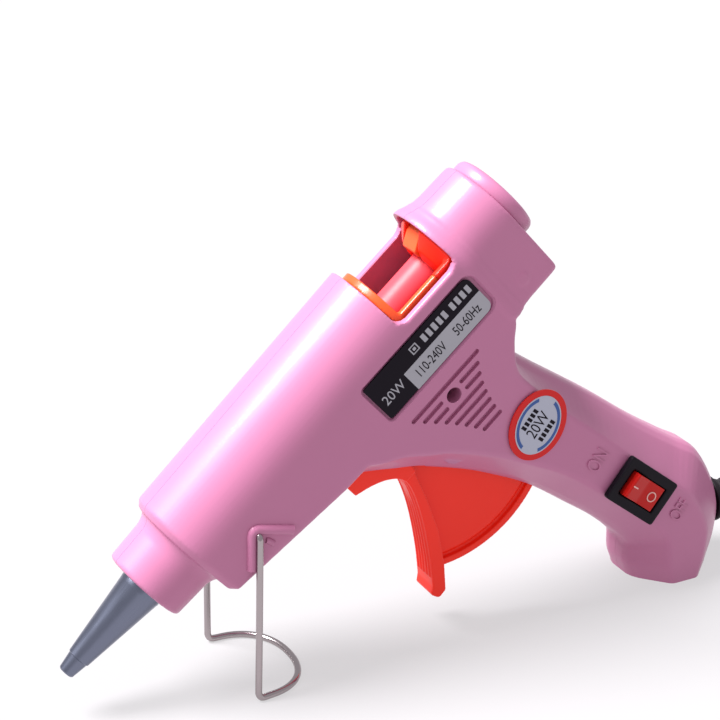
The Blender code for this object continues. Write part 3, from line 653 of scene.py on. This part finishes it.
def barrel(inset):
    """A tapered body, then a hood whose mouth flares over the window."""
    rear = 115.8 - inset
    stations = [
        (12.4 + inset, 12.6, 0.0, -9.9),
        (13.9 + inset, HALF, 0.0, -11.2),
        (45.8, HALF, 1.0, -15.0),
        (80.0, HALF, 2.0, -16.5),
        (98.8, HALF, 2.0, -17.8),
        (99.3, 14.0, 0.2, -18.0),
    ]
    for k in range(7):
        t = k / 6
        flare = 0.5 + 0.5 * math.cos(math.pi * t)
        stations.append((100.0 + 3.4 * t, 13.1 + 1.05 * flare, 0.0, -18.2 - 0.7 * min(2 * t, 1)))
    stations += [(103.75, 12.75, 0.0, -18.75), (106.5, 12.4, 0.0, -18.75), (rear - 2.0, 12.25, 0.0, -18.75)]
    for k in range(1, 5):
        a = k / 4 * math.pi / 2
        drop = 0.9 * (1 - math.cos(a))
        stations.append((rear - 0.9 + 0.9 * math.sin(a), 12.2 - drop, 0.0, -18.75 + drop))
    return loft([barrel_ring(*station, inset) for station in stations])


GRIP = [
    # front x, z, rear x, z, half width, front chamfer, rear chamfer
    (47.0, -13.0, 104.0, -14.0, HALF, 5.0, 3.0),
    (47.5, -16.8, 103.2, -18.4, HALF, 8.2, 3.0),
    (51.2, -20.8, 99.8, -22.0, HALF, 9.4, 3.0),
    (55.6, -25.8, 96.6, -26.4, HALF, 9.2, 3.0),
    (60.6, -31.6, 95.9, -31.0, HALF, 8.8, 3.6),
    (67.4, -42.2, 97.7, -39.5, HALF, 8.0, 4.6),
    (71.4, -50.0, 100.0, -48.0, HALF, 7.6, 6.0),
    (76.2, -61.5, 103.2, -60.0, HALF, 7.4, 7.0),
    (79.6, -75.0, 106.6, -75.0, HALF, 7.1, 8.0),
    (81.9, -85.4, 109.7, -86.0, HALF, 7.0, 9.0),
    (*to_gun(125.2, 10.4), 112.3, -96.0, HALF, 7.0, 10.0),
    (*to_gun(125.7, 7.6), *to_gun(152.7, 18.5), HALF - 0.1, 7.0, 9.6),
    (*to_gun(125.8, 4.2), *to_gun(152.9, 9.0), HALF - 0.4, 7.0, 9.0),
    (*to_gun(127.2, 0.3), *to_gun(150.7, 0.3), HALF - 0.9, 7.0, 8.0),
    (*to_gun(127.6, -3.0), *to_gun(150.4, -3.0), HALF - 1.2, 7.0, 8.0),
]


def grip_ring(station, inset):
    """A ring with a long chamfer at each end, from one row of GRIP."""
    fx, fz, rx, rz, half, chamfer, heel = station
    length = math.hypot(rx - fx, rz - fz)
    ux, uz = (rx - fx) / length, (rz - fz) / length
    half -= inset
    end = length - inset
    outline = [
        (inset, 3.0),
        (inset + 0.5, 4.8),
        (inset + 1.7, 6.7),
        (chamfer + inset * 0.4, half - 0.5),
        (chamfer + 1.0, half),
        (length - heel - 1.0, half),
        (length - heel - inset * 0.4, half - 0.5),
        (end - 1.7, 6.3),
        (end - 0.5, 4.4),
        (end, 2.6),
    ]
    ring = [(fx + ux * d, y, fz + uz * d) for d, y in outline]
    return ring + [(fx + ux * d, -y, fz + uz * d) for d, y in reversed(outline)]


def grip(inset):
    """The handle: arch over the finger, neck and flared butt."""
    stations = [list(station) for station in GRIP]
    if inset:
        stations = stations[:-1]
        stations[-1][:4] = [*to_gun(127.2, inset), *to_gun(150.7, inset)]
    fine = []
    padded = [stations[0]] + stations + [stations[-1]]
    for a, b, c, d in zip(padded, padded[1:], padded[2:], padded[3:]):
        for k in range(5):
            t = k / 5
            fine.append([catmull(p, q, r, s, t) for p, q, r, s in zip(a, b, c, d)])
    fine.append(stations[-1])
    return loft([grip_ring(station, inset) for station in fine])


def collar():
    """The stepped nose, with its hollow fillet against the barrel."""
    profile = [(0.0, 9.3), (0.15, 9.7), (0.6, 9.95), (9.5, 10.3), (10.8, 10.6), (11.8, 11.1), (12.6, 11.8)]
    profile += [(13.1, 12.6), (16.0, 12.6)]
    return lathe([(0.0, 0.0)] + profile + [(16.0, 0.0)], 96)


def rib(x0, x1):
    """A plate across the barrel that carries the melt tube."""
    ring = barrel_ring(0, HALF, 0.8, -12.6, WALL - 0.5)
    plate = loft([[(x, y, z) for _, y, z in ring] for x in (x0, x1)])
    holes = [rod(x0 - 1, x1 + 1, 6.4), box(x0 - 1, x1 + 1, -3.2, 3.2, 5.0, 9.6)]
    return carve(plate, ("DIFFERENCE", holes))


def bosses():
    """Posts for the screws, the trigger's pivot and the spring's end."""
    posts = [prism(disc(x, z, 3.1), -12.8, 12.8) for x, z in SCREWS.values()]
    posts.append(prism(disc(*PIVOT, 2.0), -9.6, 9.6))
    posts.append(prism(disc(107.9, SPRING_HEIGHT, 1.5), -12.6, 12.6))
    for side in (-1, 1):
        posts.append(prism(disc(*PIVOT, 3.2), side * 6.3, side * 9.9))
    return posts


def stand_marks(side):
    """The angled rib round the stand's hole, and the small nub that holds the leg."""
    hx, hz = STAND_PIVOT
    c, s = math.cos(TILT), math.sin(TILT)

    def turned(points, y):
        return [(hx + x * c + z * s, side * y, hz - x * s + z * c) for x, z in points]

    angle = [(-1.6, -8.6), (-1.55, -8.2), (-1.4, 0.0), (-1.2, 0.7), (-0.8, 1.1), (-0.1, 1.2)]
    angle += [(8.2, -0.8), (8.6, -0.9)]
    nub = [(2.0, -2.0), (2.4, -2.1), (3.8, -3.2)]
    return [tube(turned(angle, HALF - 0.1), 1.2, 16), tube(turned(nub, HALF - 0.2), 0.8, 12)]


def vents(side):
    """Eight shallow grooves along the barrel; the front screw's ring interrupts them."""
    grooves = []
    starts = (67.0, 68.8, 70.5, 72.1, 73.6, 74.9, 76.1, 77.1)
    ends = (89.4, 87.6, 86.3, 85.2, 84.4, 83.8, 83.4, 83.4)
    sx, sz = SCREWS["front"]
    for row, (x0, x1) in enumerate(zip(starts, ends)):
        z = -15.4 - 2.37 * row
        reach = 3.1**2 - (z - sz) ** 2
        spans = [(x0, x1)]
        if reach > 0:
            spans = [(x0, sx - math.sqrt(reach)), (sx + math.sqrt(reach), x1)]
        for a, b in spans:
            y0, y1 = sorted((side * (HALF - 0.9), side * (HALF + 1)))
            groove = [(a, z - 0.6), (b, z - 0.6), (b, z + 0.6), (a, z + 0.6)]
            grooves.append(prism(eased(groove, 0.55), y0, y1))
    return grooves


def switch_box(x, z, y0, y1):
    """A box at the switch, in the gun's frame."""
    mesh = box(-x, x, y0, y1, -z, z)
    mesh.transform(Matrix.Translation((SWITCH_AT[0], 0, SWITCH_AT[1])) @ Matrix.Rotation(LEAN, 4, "Y"))
    return mesh


def word(text, x, z, size, face, lean=0.0, squeeze=1.0):
    """Letters on the near side with their faces at y = face."""
    curve = bpy.data.curves.new("word", "FONT")
    curve.body = text
    curve.size = size
    curve.align_x = "CENTER"
    curve.align_y = "CENTER"
    curve.extrude = 0.3
    curve.resolution_u = 3
    mesh = settled(loose(curve))
    across = Vector((math.cos(lean), 0, math.sin(lean)))
    upright = Vector((-math.sin(lean), 0, math.cos(lean)))
    turn = Matrix((across, upright, Vector((0, -1, 0)))).transposed().to_4x4()
    mesh.transform(Matrix.Translation((x, face + 0.3, z)) @ turn @ Matrix.Diagonal((squeeze, 1, 1, 1)))
    return mesh


def whole_shell():
    """Both halves in one, with the walls, posts and ribs inside."""
    window = eased([(80.4, 30), (80.4, 4.2), (99.4, 4.2), (99.4, 30)], [0, 2.5, 2.5, 0])
    front_slot = [(44, -8), (44, -32), (61.5, -36.0), (64.5, -27), (60, -12)]
    fin_slot = [(58, -22), (58, -40.0), (76.0, -66.0), (80.5, -66.0), (78, -56), (72, -42)]
    mouth = [(98.6, 0.0), (98.6, 13.5), (99.4, 13.2), (103.2, 11.3), (103.2, 0.0)]
    inside = [barrel(WALL), grip(WALL), prism(front_slot, -5.9, 5.9), prism(fin_slot, -2.7, 2.7)]
    upper = carve(lathe(mouth, 72), ("DIFFERENCE", [box(90, 110, -20, 20, -20, 4.4)]))
    way_out = rod(138, 160, 4.3, centre=(0, 0, CORD_HEIGHT))
    way_out.transform(GUN.inverted() @ FLOOR)
    holes = [way_out, rod(-2, 17, 6.5), prism(window, -30, 30), rod(110, 118, 7.3)]
    holes.append(prism(disc(*STAND_PIVOT, 1.1), -20, 20))
    return carve(
        barrel(0.0),
        ("UNION", [grip(0.0), collar()]),
        ("DIFFERENCE", inside + [upper] + holes),
        add=bosses() + [rib(17.2, 19.0), rib(47.2, 49.0)],
        voxel=0.42,
        passes=2,
        keep=0.42,
    )


def recess():
    """The shallow bed of the rating plate, with a sloping edge."""
    deep = eased([(64.2, -10.9), (99.6, -10.9), (99.6, 0.9), (64.2, 0.9)], [1.0, 2.4, 2.4, 1.0])
    wide = eased([(63.8, -11.4), (100.1, -11.4), (100.1, 1.4), (63.8, 1.4)], [1.5, 3.0, 3.0, 1.5])
    levels = ((wide, -20.0), (wide, -HALF - 0.02), (deep, 0.5 - HALF), (deep, 0.85 - HALF))
    return loft([[(x, y, z) for x, z in ring] for ring, y in levels])


def shell(whole, side):
    """One half of the housing."""
    away = sorted((-side * 100, side * SEAM))
    under = box(-300, 300, -100, 100, -50, 0)
    under.transform(GUN.inverted() @ FLOOR)
    crisp = [box(-60, 160, *away, -200, 80), under] + vents(side)
    if side < 0:
        crisp += [switch_box(7.3, 4.9, -20, -11), recess()]
        for x, z in SCREWS.values():
            crisp.append(prism(disc(x, z, 1.9), -20, SCREW_SEAT))
            crisp.append(prism(disc(x, z, 1.35), -20, 2))
    parts = [(carve(whole.copy(), ("DIFFERENCE", crisp)), PINK)]
    parts += [(mark, PINK) for mark in stand_marks(side)]
    if side < 0:
        parts.append((word("ON", 91.2, -64.3, 6.3, -HALF - 0.35, READ, 0.6), PINK))
        parts.append((word("OFF", 97.2, -95.1, 5.8, -HALF - 0.35, READ, 0.56), PINK))
    return parts


WHOLE = whole_shell()
piece("shell_left", shell(WHOLE, -1), "housing", ["housing_left"])
piece("shell_right", shell(WHOLE, 1), "housing", ["housing_right"])


def inlet_ring():
    """The collar that guides the stick in, with a rounded rim."""
    profile = [(111.5, 4.2), (111.5, 7.0), (115.6, 7.0), (115.6, 10.4), (115.9, 10.75), (116.2, 10.85)]
    profile += [(117.7, 10.85), (118.4, 10.65), (118.95, 10.2), (119.2, 9.5), (119.25, 7.2)]
    profile += [(118.9, 6.5), (116.4, 4.2)]
    return lathe(profile)


piece("entry_ring", (inlet_ring(), PINK), "housing", ["inlet_ring"])


# Melting end


def nozzle():
    """A turned cone with a stepped tip, a flange in the collar and a bore."""
    profile = [(-25.9, 0.9), (-25.9, 1.6), (-25.6, 1.9), (-21.7, 2.5), (-21.5, 2.75), (-1.6, 5.2)]
    profile += [(-1.2, 5.3), (0.2, 5.3), (0.2, 5.9), (7.9, 5.9), (7.9, 4.1), (15.5, 4.1)]
    profile += [(15.5, 2.6), (-14.0, 2.6), (-22.5, 0.9)]
    return lathe(profile)


piece("tip", (nozzle(), ALUMINIUM), "housing", ["nozzle"])
repaint("melt_tube", ALUMINIUM)
repaint("ptc_heater", CERAMIC)
repaint("silicone_sleeve", SILICONE)
repaint("sleeve_clip", SPRING)


# Feed carriage


def plate(*stations):
    """A slab through (x, half width, height of the arc's centre, bottom) stations."""
    return loft([barrel_ring(*station, 0) for station in stations])


def carriage():
    """The slide: a front band with its rail and push bars, and the mouth behind the window. The band is in
    the lit orange; the mouth and the rail's rear end are in red, painted shade of the same plastic under the
    hood.
    """
    px = PIVOT[0]
    lug = [(px - 4, 1.6), (px - 4, -6.3), (px - 2.2, -6.3), (px - 2.2, -1.7)]
    lug += [(px + 2.2, -1.7), (px + 2.2, -6.3), (px + 4, -6.3), (px + 4, 1.6)]
    frame_parts = [box(80.6, 82.6, -2.0, 2.0, -14.6, -7.0), box(82, 94.2, -10.9, -9.4, 1.4, 4.9)]
    for side in (-1, 1):
        bar = sorted((side * 5.1, side * 6.9))
        frame_parts.append(box(66, 81, *bar, -1.4, 1.6))
        frame_parts.append(prism(lug, *bar))
    way = [(79, 0), (79, 4.95), (97.8, 4.95), (98.2, 4.3), (110, 4.3), (110, 0)]
    arch = (11.25, 2.0, -8.0)
    band = carve(
        plate((80.6, *arch), (82.6, *arch)),
        ("DIFFERENCE", [lathe(way)]),
        add=frame_parts,
        voxel=0.26,
        passes=2,
        keep=0.5,
    )
    slot = box(94.0, 106.4, -3.2, 3.2, 3.0, 12.0)
    swell = [(95.6, 6.4, 0.0, -5.0), (96.4, 8.6, 0.0, -6.6), (99.4, 11.5, 0.0, -8.0)]
    swell.append((100.7, 11.5, 0.0, -8.0))
    mouth = carve(
        plate(*swell),
        # the rail's rear end joins the mouth and takes its red: painted shade under the hood
        ("UNION", [rod(99, 108.6, 9.6, 72), box(94.1, 98.95, -10.9, -9.4, 1.4, 4.9)]),
        ("DIFFERENCE", [lathe(way), slot]),
        ("UNION", [prism(disc(*CLAMP_PIVOT, 0.9), -4.0, 4.0)]),
        voxel=0.28,
        passes=2,
        keep=0.5,
    )
    # red on the mouth is painted shade of the carriage's orange plastic
    return [(band, CARRIAGE), (mouth, RED)]


def jaw():
    """The toothed lever that grips the stick."""
    outline = [(95.6, 5.4), (98.2, 5.4), (98.8, 4.4), (99.8, 4.5), (101.0, 6.0)]
    outline += [(105.2, 6.6), (105.2, 9.4), (103.4, 10.2), (98.6, 9.6), (95.4, 7.6)]
    body = prism(eased(outline, [0.8, 0.4, 0.2, 0.2, 0.6, 1.0, 1.2, 1.0, 2.4, 1.0]), -2.9, 2.9)
    bore = prism(disc(*CLAMP_PIVOT, 1.2), -5, 5)
    return carve(body, ("DIFFERENCE", [bore]), voxel=0.14, passes=4, keep=0.4)


def guide_tube():
    profile = [(72.0, 3.85), (72.0, 4.5), (72.15, 4.65), (97.45, 4.65), (97.6, 4.5), (97.6, 3.85)]
    return lathe(profile)


piece("feed_frame", carriage(), "carriage", ["feed_carriage"])
piece("stick_tube", (guide_tube(), SILICONE), "carriage", ["guide_tube"])
piece("jaw", (jaw(), CARRIAGE), "clamp", ["stick_clamp"])


def spring():
    """A close-wound coil along the gun."""
    x0, x1 = 83.6, 105.0
    coil = Growth("coil", Turns=22.0, Radius=2.1, Length=x1 - x0, Wire=0.3)
    spiral = coil.node(
        "GeometryNodeCurveSpiral",
        {},
        Resolution=20,
        Rotations=coil.size("Turns"),
        Start_Radius=coil.size("Radius"),
        End_Radius=coil.size("Radius"),
        Height=coil.size("Length"),
    )
    mesh = coil.grown(coil.wire(spiral, coil.size("Wire"), 8), SPRING)
    mesh.transform(Matrix.Translation((x0, 0, SPRING_HEIGHT)) @ Matrix.Rotation(math.pi / 2, 4, "Y"))
    return mesh


piece("coil_spring", (spring(), SPRING), "housing", ["return_spring"])


# Trigger


def trigger():
    """A blade with ridges, the flange over it, the fin with its rim, and the fork inside."""
    px, pz = PIVOT
    fx, fz, radius = 66.9, -34.4, 31.7  # the fin's round edge
    front = [(46.5, -23.7), (50.6, -25.3), (54.2, -27.6), (56.3, -30.4), (56.8, -34.2), (55.0, -39.8)]
    front += [(52.0, -46.0), (47.3, -53.9), (42.7, -60.5)]
    face = smooth([(x, 0, z) for x, z in front], 1.0)
    curve = [(p.x, p.z) for p in face]
    end = [(43.2, -59.8), (40.9, -62.0), (41.7, -64.4), (44.2, -64.2), (48.6, -58.4)]
    tip = eased(end, [0, 0.8, 1.0, 1.2, 0])[1:-1]
    rear = [(48.7, -58.3), (53.6, -50.0), (57.2, -41.0), (60.2, -32.0)]
    blade = curve[9:] + tip + rear + [(62.0, -27.0), (56.0, -27.0)]
    flange = curve[:14] + [(60.2, -32.0), (61.0, -24.0), (57.5, -19.5), (46.6, -18.5)]
    arc = [math.radians(a) for a in range(234, 293, 2)]

    def along(offset):
        return [(fx + (radius - offset) * math.cos(a), fz + (radius - offset) * math.sin(a)) for a in arc]

    web = [(47.8, -58.2)] + along(0.2) + [(px + 3.6, pz), (px, pz + 3.6), (58.0, -30.0), (54.0, -42.0)]
    arm = [(px - 3.4, pz), (px - 1.6, -4.0), (px + 1.6, -4.0), (px + 3.4, pz)]
    grooves = [prism(along(1.8) + along(2.9)[::-1], *span) for span in ((-3, -0.8), (0.8, 3))]
    parts = [
        carve(prism(web, -1.35, 1.35), ("DIFFERENCE", grooves)),
        prism(flange, -5.5, 5.5),
        prism(along(0) + along(1.8)[::-1], -2.1, 2.1),
        prism(disc(px, pz, 4.2), -5.9, 5.9),
    ]
    for y0, y1 in ((-5.9, -4.7), (4.7, 5.9)):
        parts.append(prism(arm, y0, y1))
        parts.append(prism(disc(px, -4.0, 1.9), y0, y1))
    ridges = Growth("ridges", Count=5, Pitch=1.4, Radius=0.4)
    path = ridges.node("GeometryNodeMeshToCurve", {}, ridges.size("Geometry"))
    ridge = ridges.wire(path, ridges.size("Radius"), 8)
    step = ridges.node("ShaderNodeCombineXYZ", {}, Y=ridges.size("Pitch"))
    row = ridges.node("GeometryNodeMeshLine", {}, Count=ridges.size("Count"), Offset=step)
    rows = ridges.node("GeometryNodeInstanceOnPoints", {}, row, Instance=ridge)
    parts.append(ridges.grown(rows, RED, [(p.x - 0.05, -2.8, p.z) for p in face[12:-2]]))
    bore = ("DIFFERENCE", [prism(disc(px, pz, 2.35), -9, 9)])
    return carve(prism(blade, -4.0, 4.0), add=parts, voxel=0.24, passes=2, keep=0.5, then=[bore])


piece("trigger_blade", (trigger(), RED), "trigger", ["trigger"])


# Wire stand


def stand():
    """One bent wire: two hinge ends, two legs and a bow on the floor."""
    hinge = FLOOR.inverted() @ Vector(joint("stand_fold")["pos_m"])
    hx, hz = hinge.x, hinge.z
    radius, leg, foot, foot_x = 0.8, 15.1, 14.6, hx - 0.9
    side = [(hx, 12.2, hz), (hx, 13.2, hz), (hx, 14.2, hz - 0.05), (hx, 14.85, hz - 0.4)]
    side += [(hx, leg, hz - 1.2)]
    side += [(hx - 0.07, leg, hz - 3.5), (hx - 0.45, (leg + foot) / 2, hz / 2), (foot_x, foot, 3.6)]
    side += [(foot_x, foot, 2.2), (foot_x + 0.35, foot - 0.02, 1.25), (foot_x + 1.2, foot - 0.1, radius)]
    bow = []
    for k in range(1, 30):
        a = math.pi * k / 30
        reach = math.sin(a) ** 0.85
        across = math.copysign(abs(math.cos(a)) ** 0.9, math.cos(a))
        bow.append((foot_x + 1.7 + 12.9 * reach, (foot - 0.25) * across, radius))
    other = [(x, -y, z) for x, y, z in reversed(side)]
    return tube(smooth(side + bow + other, 0.5), radius, 20)


piece("wire_foot", (stand(), PLATED), "stand", ["stand_wire"], FLOOR)


# Rocker switch

OUT = -HALF - 0.3  # just proud of the near wall


def bezel():
    """The switch's frame and case, with a well for the rocker."""
    body = prism(eased([(-8.7, -6.0), (8.7, -6.0), (8.7, 6.0), (-8.7, 6.0)], 0.7), OUT - 1.6, OUT)
    case = box(-7.0, 7.0, OUT - 0.5, -3.0, -4.6, 4.6)
    well = box(-6.35, 6.35, -20, -8.0, -3.5, 3.5)
    return carve(body, ("UNION", [case]), ("DIFFERENCE", [well]), voxel=0.22, passes=3, keep=0.4)


def rocker():
    """A shallow V in plan, with a round and a bar moulded into its two ends."""
    outline = [(-5.6, -4.1), (0.0, -3.0), (5.6, -4.1), (5.6, -1.6), (2.4, 2.2), (-2.4, 2.2), (-5.6, -1.6)]
    rounded = eased(outline, [0.5, 3, 0.5, 0.5, 0.5, 0.5, 0.5])
    body = loft([[(x, y, z) for x, y in rounded] for z in (-3.2, 3.2)])
    lean = math.atan2(1.1, 5.6)
    ring = lathe([(-0.12, 1.05), (-0.12, 1.32), (0.3, 1.32), (0.3, 1.05)], 40, "y")
    ring.transform(Matrix.Translation((3.0, -3.6, 0)) @ Matrix.Rotation(-lean, 4, "Z"))
    bar = box(-1.1, 1.1, -0.12, 0.3, -0.17, 0.17)
    bar.transform(Matrix.Translation((-4.1, -3.81, 0)) @ Matrix.Rotation(lean, 4, "Z"))
    return [(body, ROCKER), (ring, PALE), (bar, PALE)]


ROCKER_AXIS = SWITCH @ Matrix.Translation((0, -12.4, 0)) @ Matrix.Rotation(math.radians(8), 4, "Z")
piece("switch_bezel", (bezel(), BLACK), "housing", ["switch_body"], SWITCH)
piece("rocker", rocker(), "rocker", ["switch_rocker"], ROCKER_AXIS)
repaint("switch_tab_in", BRASS)
repaint("switch_tab_out", BRASS)


# Plate and badge, with ratings and plain bars


def rating_plate():
    """A foil plate: black, with a silver field low on it, the ratings and some bars."""
    face = -HALF + 0.1

    def field(x0, x1, z0, z1, radii, proud, material):
        outline = eased([(x0, z0), (x1, z0), (x1, z1), (x0, z1)], radii)
        return prism(outline, face - proud, face + 0.3), material

    parts = [field(64.6, 98.7, -10.4, 0.6, [0.6, 1.9, 1.9, 0.6], 0.0, FOIL_BLACK)]
    parts.append(field(73.6, 98.72, -10.42, -4.6, [0.1, 1.9, 0.1, 0.1], 0.04, FOIL_SILVER))
    parts.append((word("110-240V", 80.2, -7.5, 3.6, face - 0.08, 0.0, 0.66), FOIL_BLACK))
    parts.append((word("50-60Hz", 92.2, -7.5, 3.6, face - 0.08, 0.0, 0.66), FOIL_BLACK))
    parts.append((word("20W", 69.2, -6.0, 3.7, face - 0.05, 0.0, 0.85), FOIL_SILVER))
    parts.append(field(78.2, 80.4, -3.1, -0.9, 0.1, 0.04, FOIL_SILVER))
    parts.append(field(78.5, 80.1, -2.8, -1.2, 0.1, 0.05, FOIL_BLACK))
    parts.append(field(78.9, 79.7, -2.4, -1.6, 0.1, 0.06, FOIL_SILVER))
    for k in range(9):
        x = 82.0 + 1.7 * k + (0.9 if k > 4 else 0)
        parts.append(field(x, x + 1.1, -3.1, -0.9, 0.15, 0.04, FOIL_SILVER))
    return parts


def badge():
    """An oval: a red ring, a silver field with two blue arcs, a rating and two rows of bars."""
    middle = Vector(SCREWS["rear"])
    lean, long, short = math.radians(28), 7.4, 6.0
    raised = (OUT - 0.46, OUT - 0.2)
    parts = [(prism(oval(*middle, 8.9, 7.6, lean), OUT - 0.36, OUT), BADGE_RED)]
    parts.append((prism(oval(*middle, long, short, lean), OUT - 0.42, OUT - 0.1), BADGE_SILVER))

    def axes(angle):
        c, s = math.cos(angle), math.sin(angle)
        return Vector((c, s)), Vector((-s, c))

    along, across = axes(lean)
    stops = [math.radians(25 + 130 * k / 20) for k in range(21)]
    for side in (-1, 1):
        band = []
        for scale, angles in ((0.95, stops), (0.83, stops[::-1])):
            for a in angles:
                reach = along * (long * scale * math.cos(a))
                band.append(tuple(middle + reach + across * (short * scale * math.sin(a) * side)))
        parts.append((prism(band, *raised), BADGE_BLUE))
    parts.append((word("20W", *middle, 4.6, OUT - 0.46, READ, 0.72), FOIL_BLACK))
    along, across = axes(READ)
    for offset in (3.0, -3.0):
        for place in (-2.4, -1.2, 0.0, 1.2, 2.4):
            centre = middle + across * offset + along * place
            u, v = along * 0.4, across * 0.75
            corners = (centre - u - v, centre + u - v, centre + u + v, centre - u + v)
            parts.append((prism([tuple(corner) for corner in corners], *raised), FOIL_BLACK))
    return parts


piece("foil_plate", rating_plate(), "housing", ["rating_plate"])
piece("badge", badge(), "housing", ["oval_badge"])


# Screws


def screw(x, y, z, head, shank, length):
    """A pan-head screw across the gun, with a cross in its head."""
    profile = [(y - 1.2, 0), (y - 1.2, head * 0.6), (y - 1.05, head * 0.85), (y - 0.7, head), (y, head)]
    profile += [(y, shank), (y + length, shank), (y + length, 0)]
    cross = [
        box(x - wide, x + wide, y - 2, y - 0.6, z - tall, z + tall) for wide, tall in ((0.9, 0.2), (0.2, 0.9))
    ]
    return carve(lathe(profile, 32, "y", (x, 0, z)), ("DIFFERENCE", cross))


for end, (x, z) in SCREWS.items():
    made = screw(x, SCREW_SEAT - 0.3, z, 1.6, 0.75, 13.0)
    piece("fixing_" + end, (made, STEEL), "housing", ["screw_" + end])


# Cord end in the butt


def relief():
    """A sleeve that tapers along the cord, with a collar in the wall and rings moulded round it."""
    profile = [(145.7, 0.0), (145.7, 5.2), (147.2, 5.2), (147.2, 4.0), (153.2, 4.0), (153.2, 5.6)]
    profile += [(153.5, 5.9), (154.4, 5.9), (154.7, 5.6), (155.0, 4.2), (180.8, 2.75), (RELIEF_END, 2.6)]
    profile += [(RELIEF_END, 0.0)]
    sleeve = lathe(profile, 64, "x", (0, 0, CORD_HEIGHT))
    rings = Growth("rings", Count=9, Pitch=2.9, Radius=3.9, Thickness=0.75, Taper=0.038)
    hoop = rings.node("GeometryNodeCurvePrimitiveCircle", {}, Resolution=48, Radius=rings.size("Radius"))
    bead = rings.wire(hoop, rings.size("Thickness"), 10)
    step = rings.node("ShaderNodeCombineXYZ", {}, Z=rings.size("Pitch"))
    row = rings.node("GeometryNodeMeshLine", {}, Count=rings.size("Count"), Offset=step)
    index = rings.node("GeometryNodeInputIndex", {})
    shrink = 1 - index * rings.size("Taper")
    scale = rings.node("ShaderNodeCombineXYZ", {}, X=shrink, Y=shrink, Z=1.0)
    mesh = rings.grown(rings.node("GeometryNodeInstanceOnPoints", {}, row, Instance=bead, Scale=scale), CORD)
    mesh.transform(Matrix.Translation((156.2, 0, CORD_HEIGHT)) @ Matrix.Rotation(math.pi / 2, 4, "Y"))
    return [(sleeve, CORD), (mesh, CORD)]


piece("strain_sleeve", relief(), "housing", ["strain_relief"], FLOOR)
for node, material in (
    ("cord_clamp", BLACK),
    ("clamp_screw_lower", STEEL),
    ("clamp_screw_upper", STEEL),
    ("cord_inner", CORD),
    ("wire_switched", CORE_BROWN),
    ("wire_return", CORE_BLUE),
    ("wire_supply", CORE_BROWN),
):
    repaint(node, material)


# Floor and light


def studio():
    ground = bpy.data.meshes.new("ground")
    ground.from_pydata([(-3, -3, 0), (3, -3, 0), (3, 3, 0), (-3, 3, 0)], [], [(0, 1, 2, 3)])
    pale = Finish("ground", (0.135, 0.130, 0.135), 0.95, gloss=0.05)
    pale.shader.inputs["Emission Color"].default_value = (1.0, 0.985, 1.0, 1)
    pale.shader.inputs["Emission Strength"].default_value = 0.6
    ground.materials.append(pale.material)
    floor = bpy.data.objects.new("ground", ground)
    SCENE.objects.link(floor)
    world = bpy.data.worlds.new("studio")
    world.use_nodes = True
    world.node_tree.nodes["Background"].inputs["Color"].default_value = (0.97, 0.96, 1, 1)
    world.node_tree.nodes["Background"].inputs["Strength"].default_value = 0.60
    bpy.context.scene.world = world
    light = bpy.data.lights.new("high", "SUN")
    light.angle = math.radians(30)
    light.energy = 9.6
    lamp = bpy.data.objects.new("high", light)
    lamp.rotation_euler = Vector((0.50, -0.20, -0.86)).to_track_quat("-Z", "Y").to_euler()
    SCENE.objects.link(lamp)
    bpy.context.scene.view_settings.view_transform = "Standard"


studio()
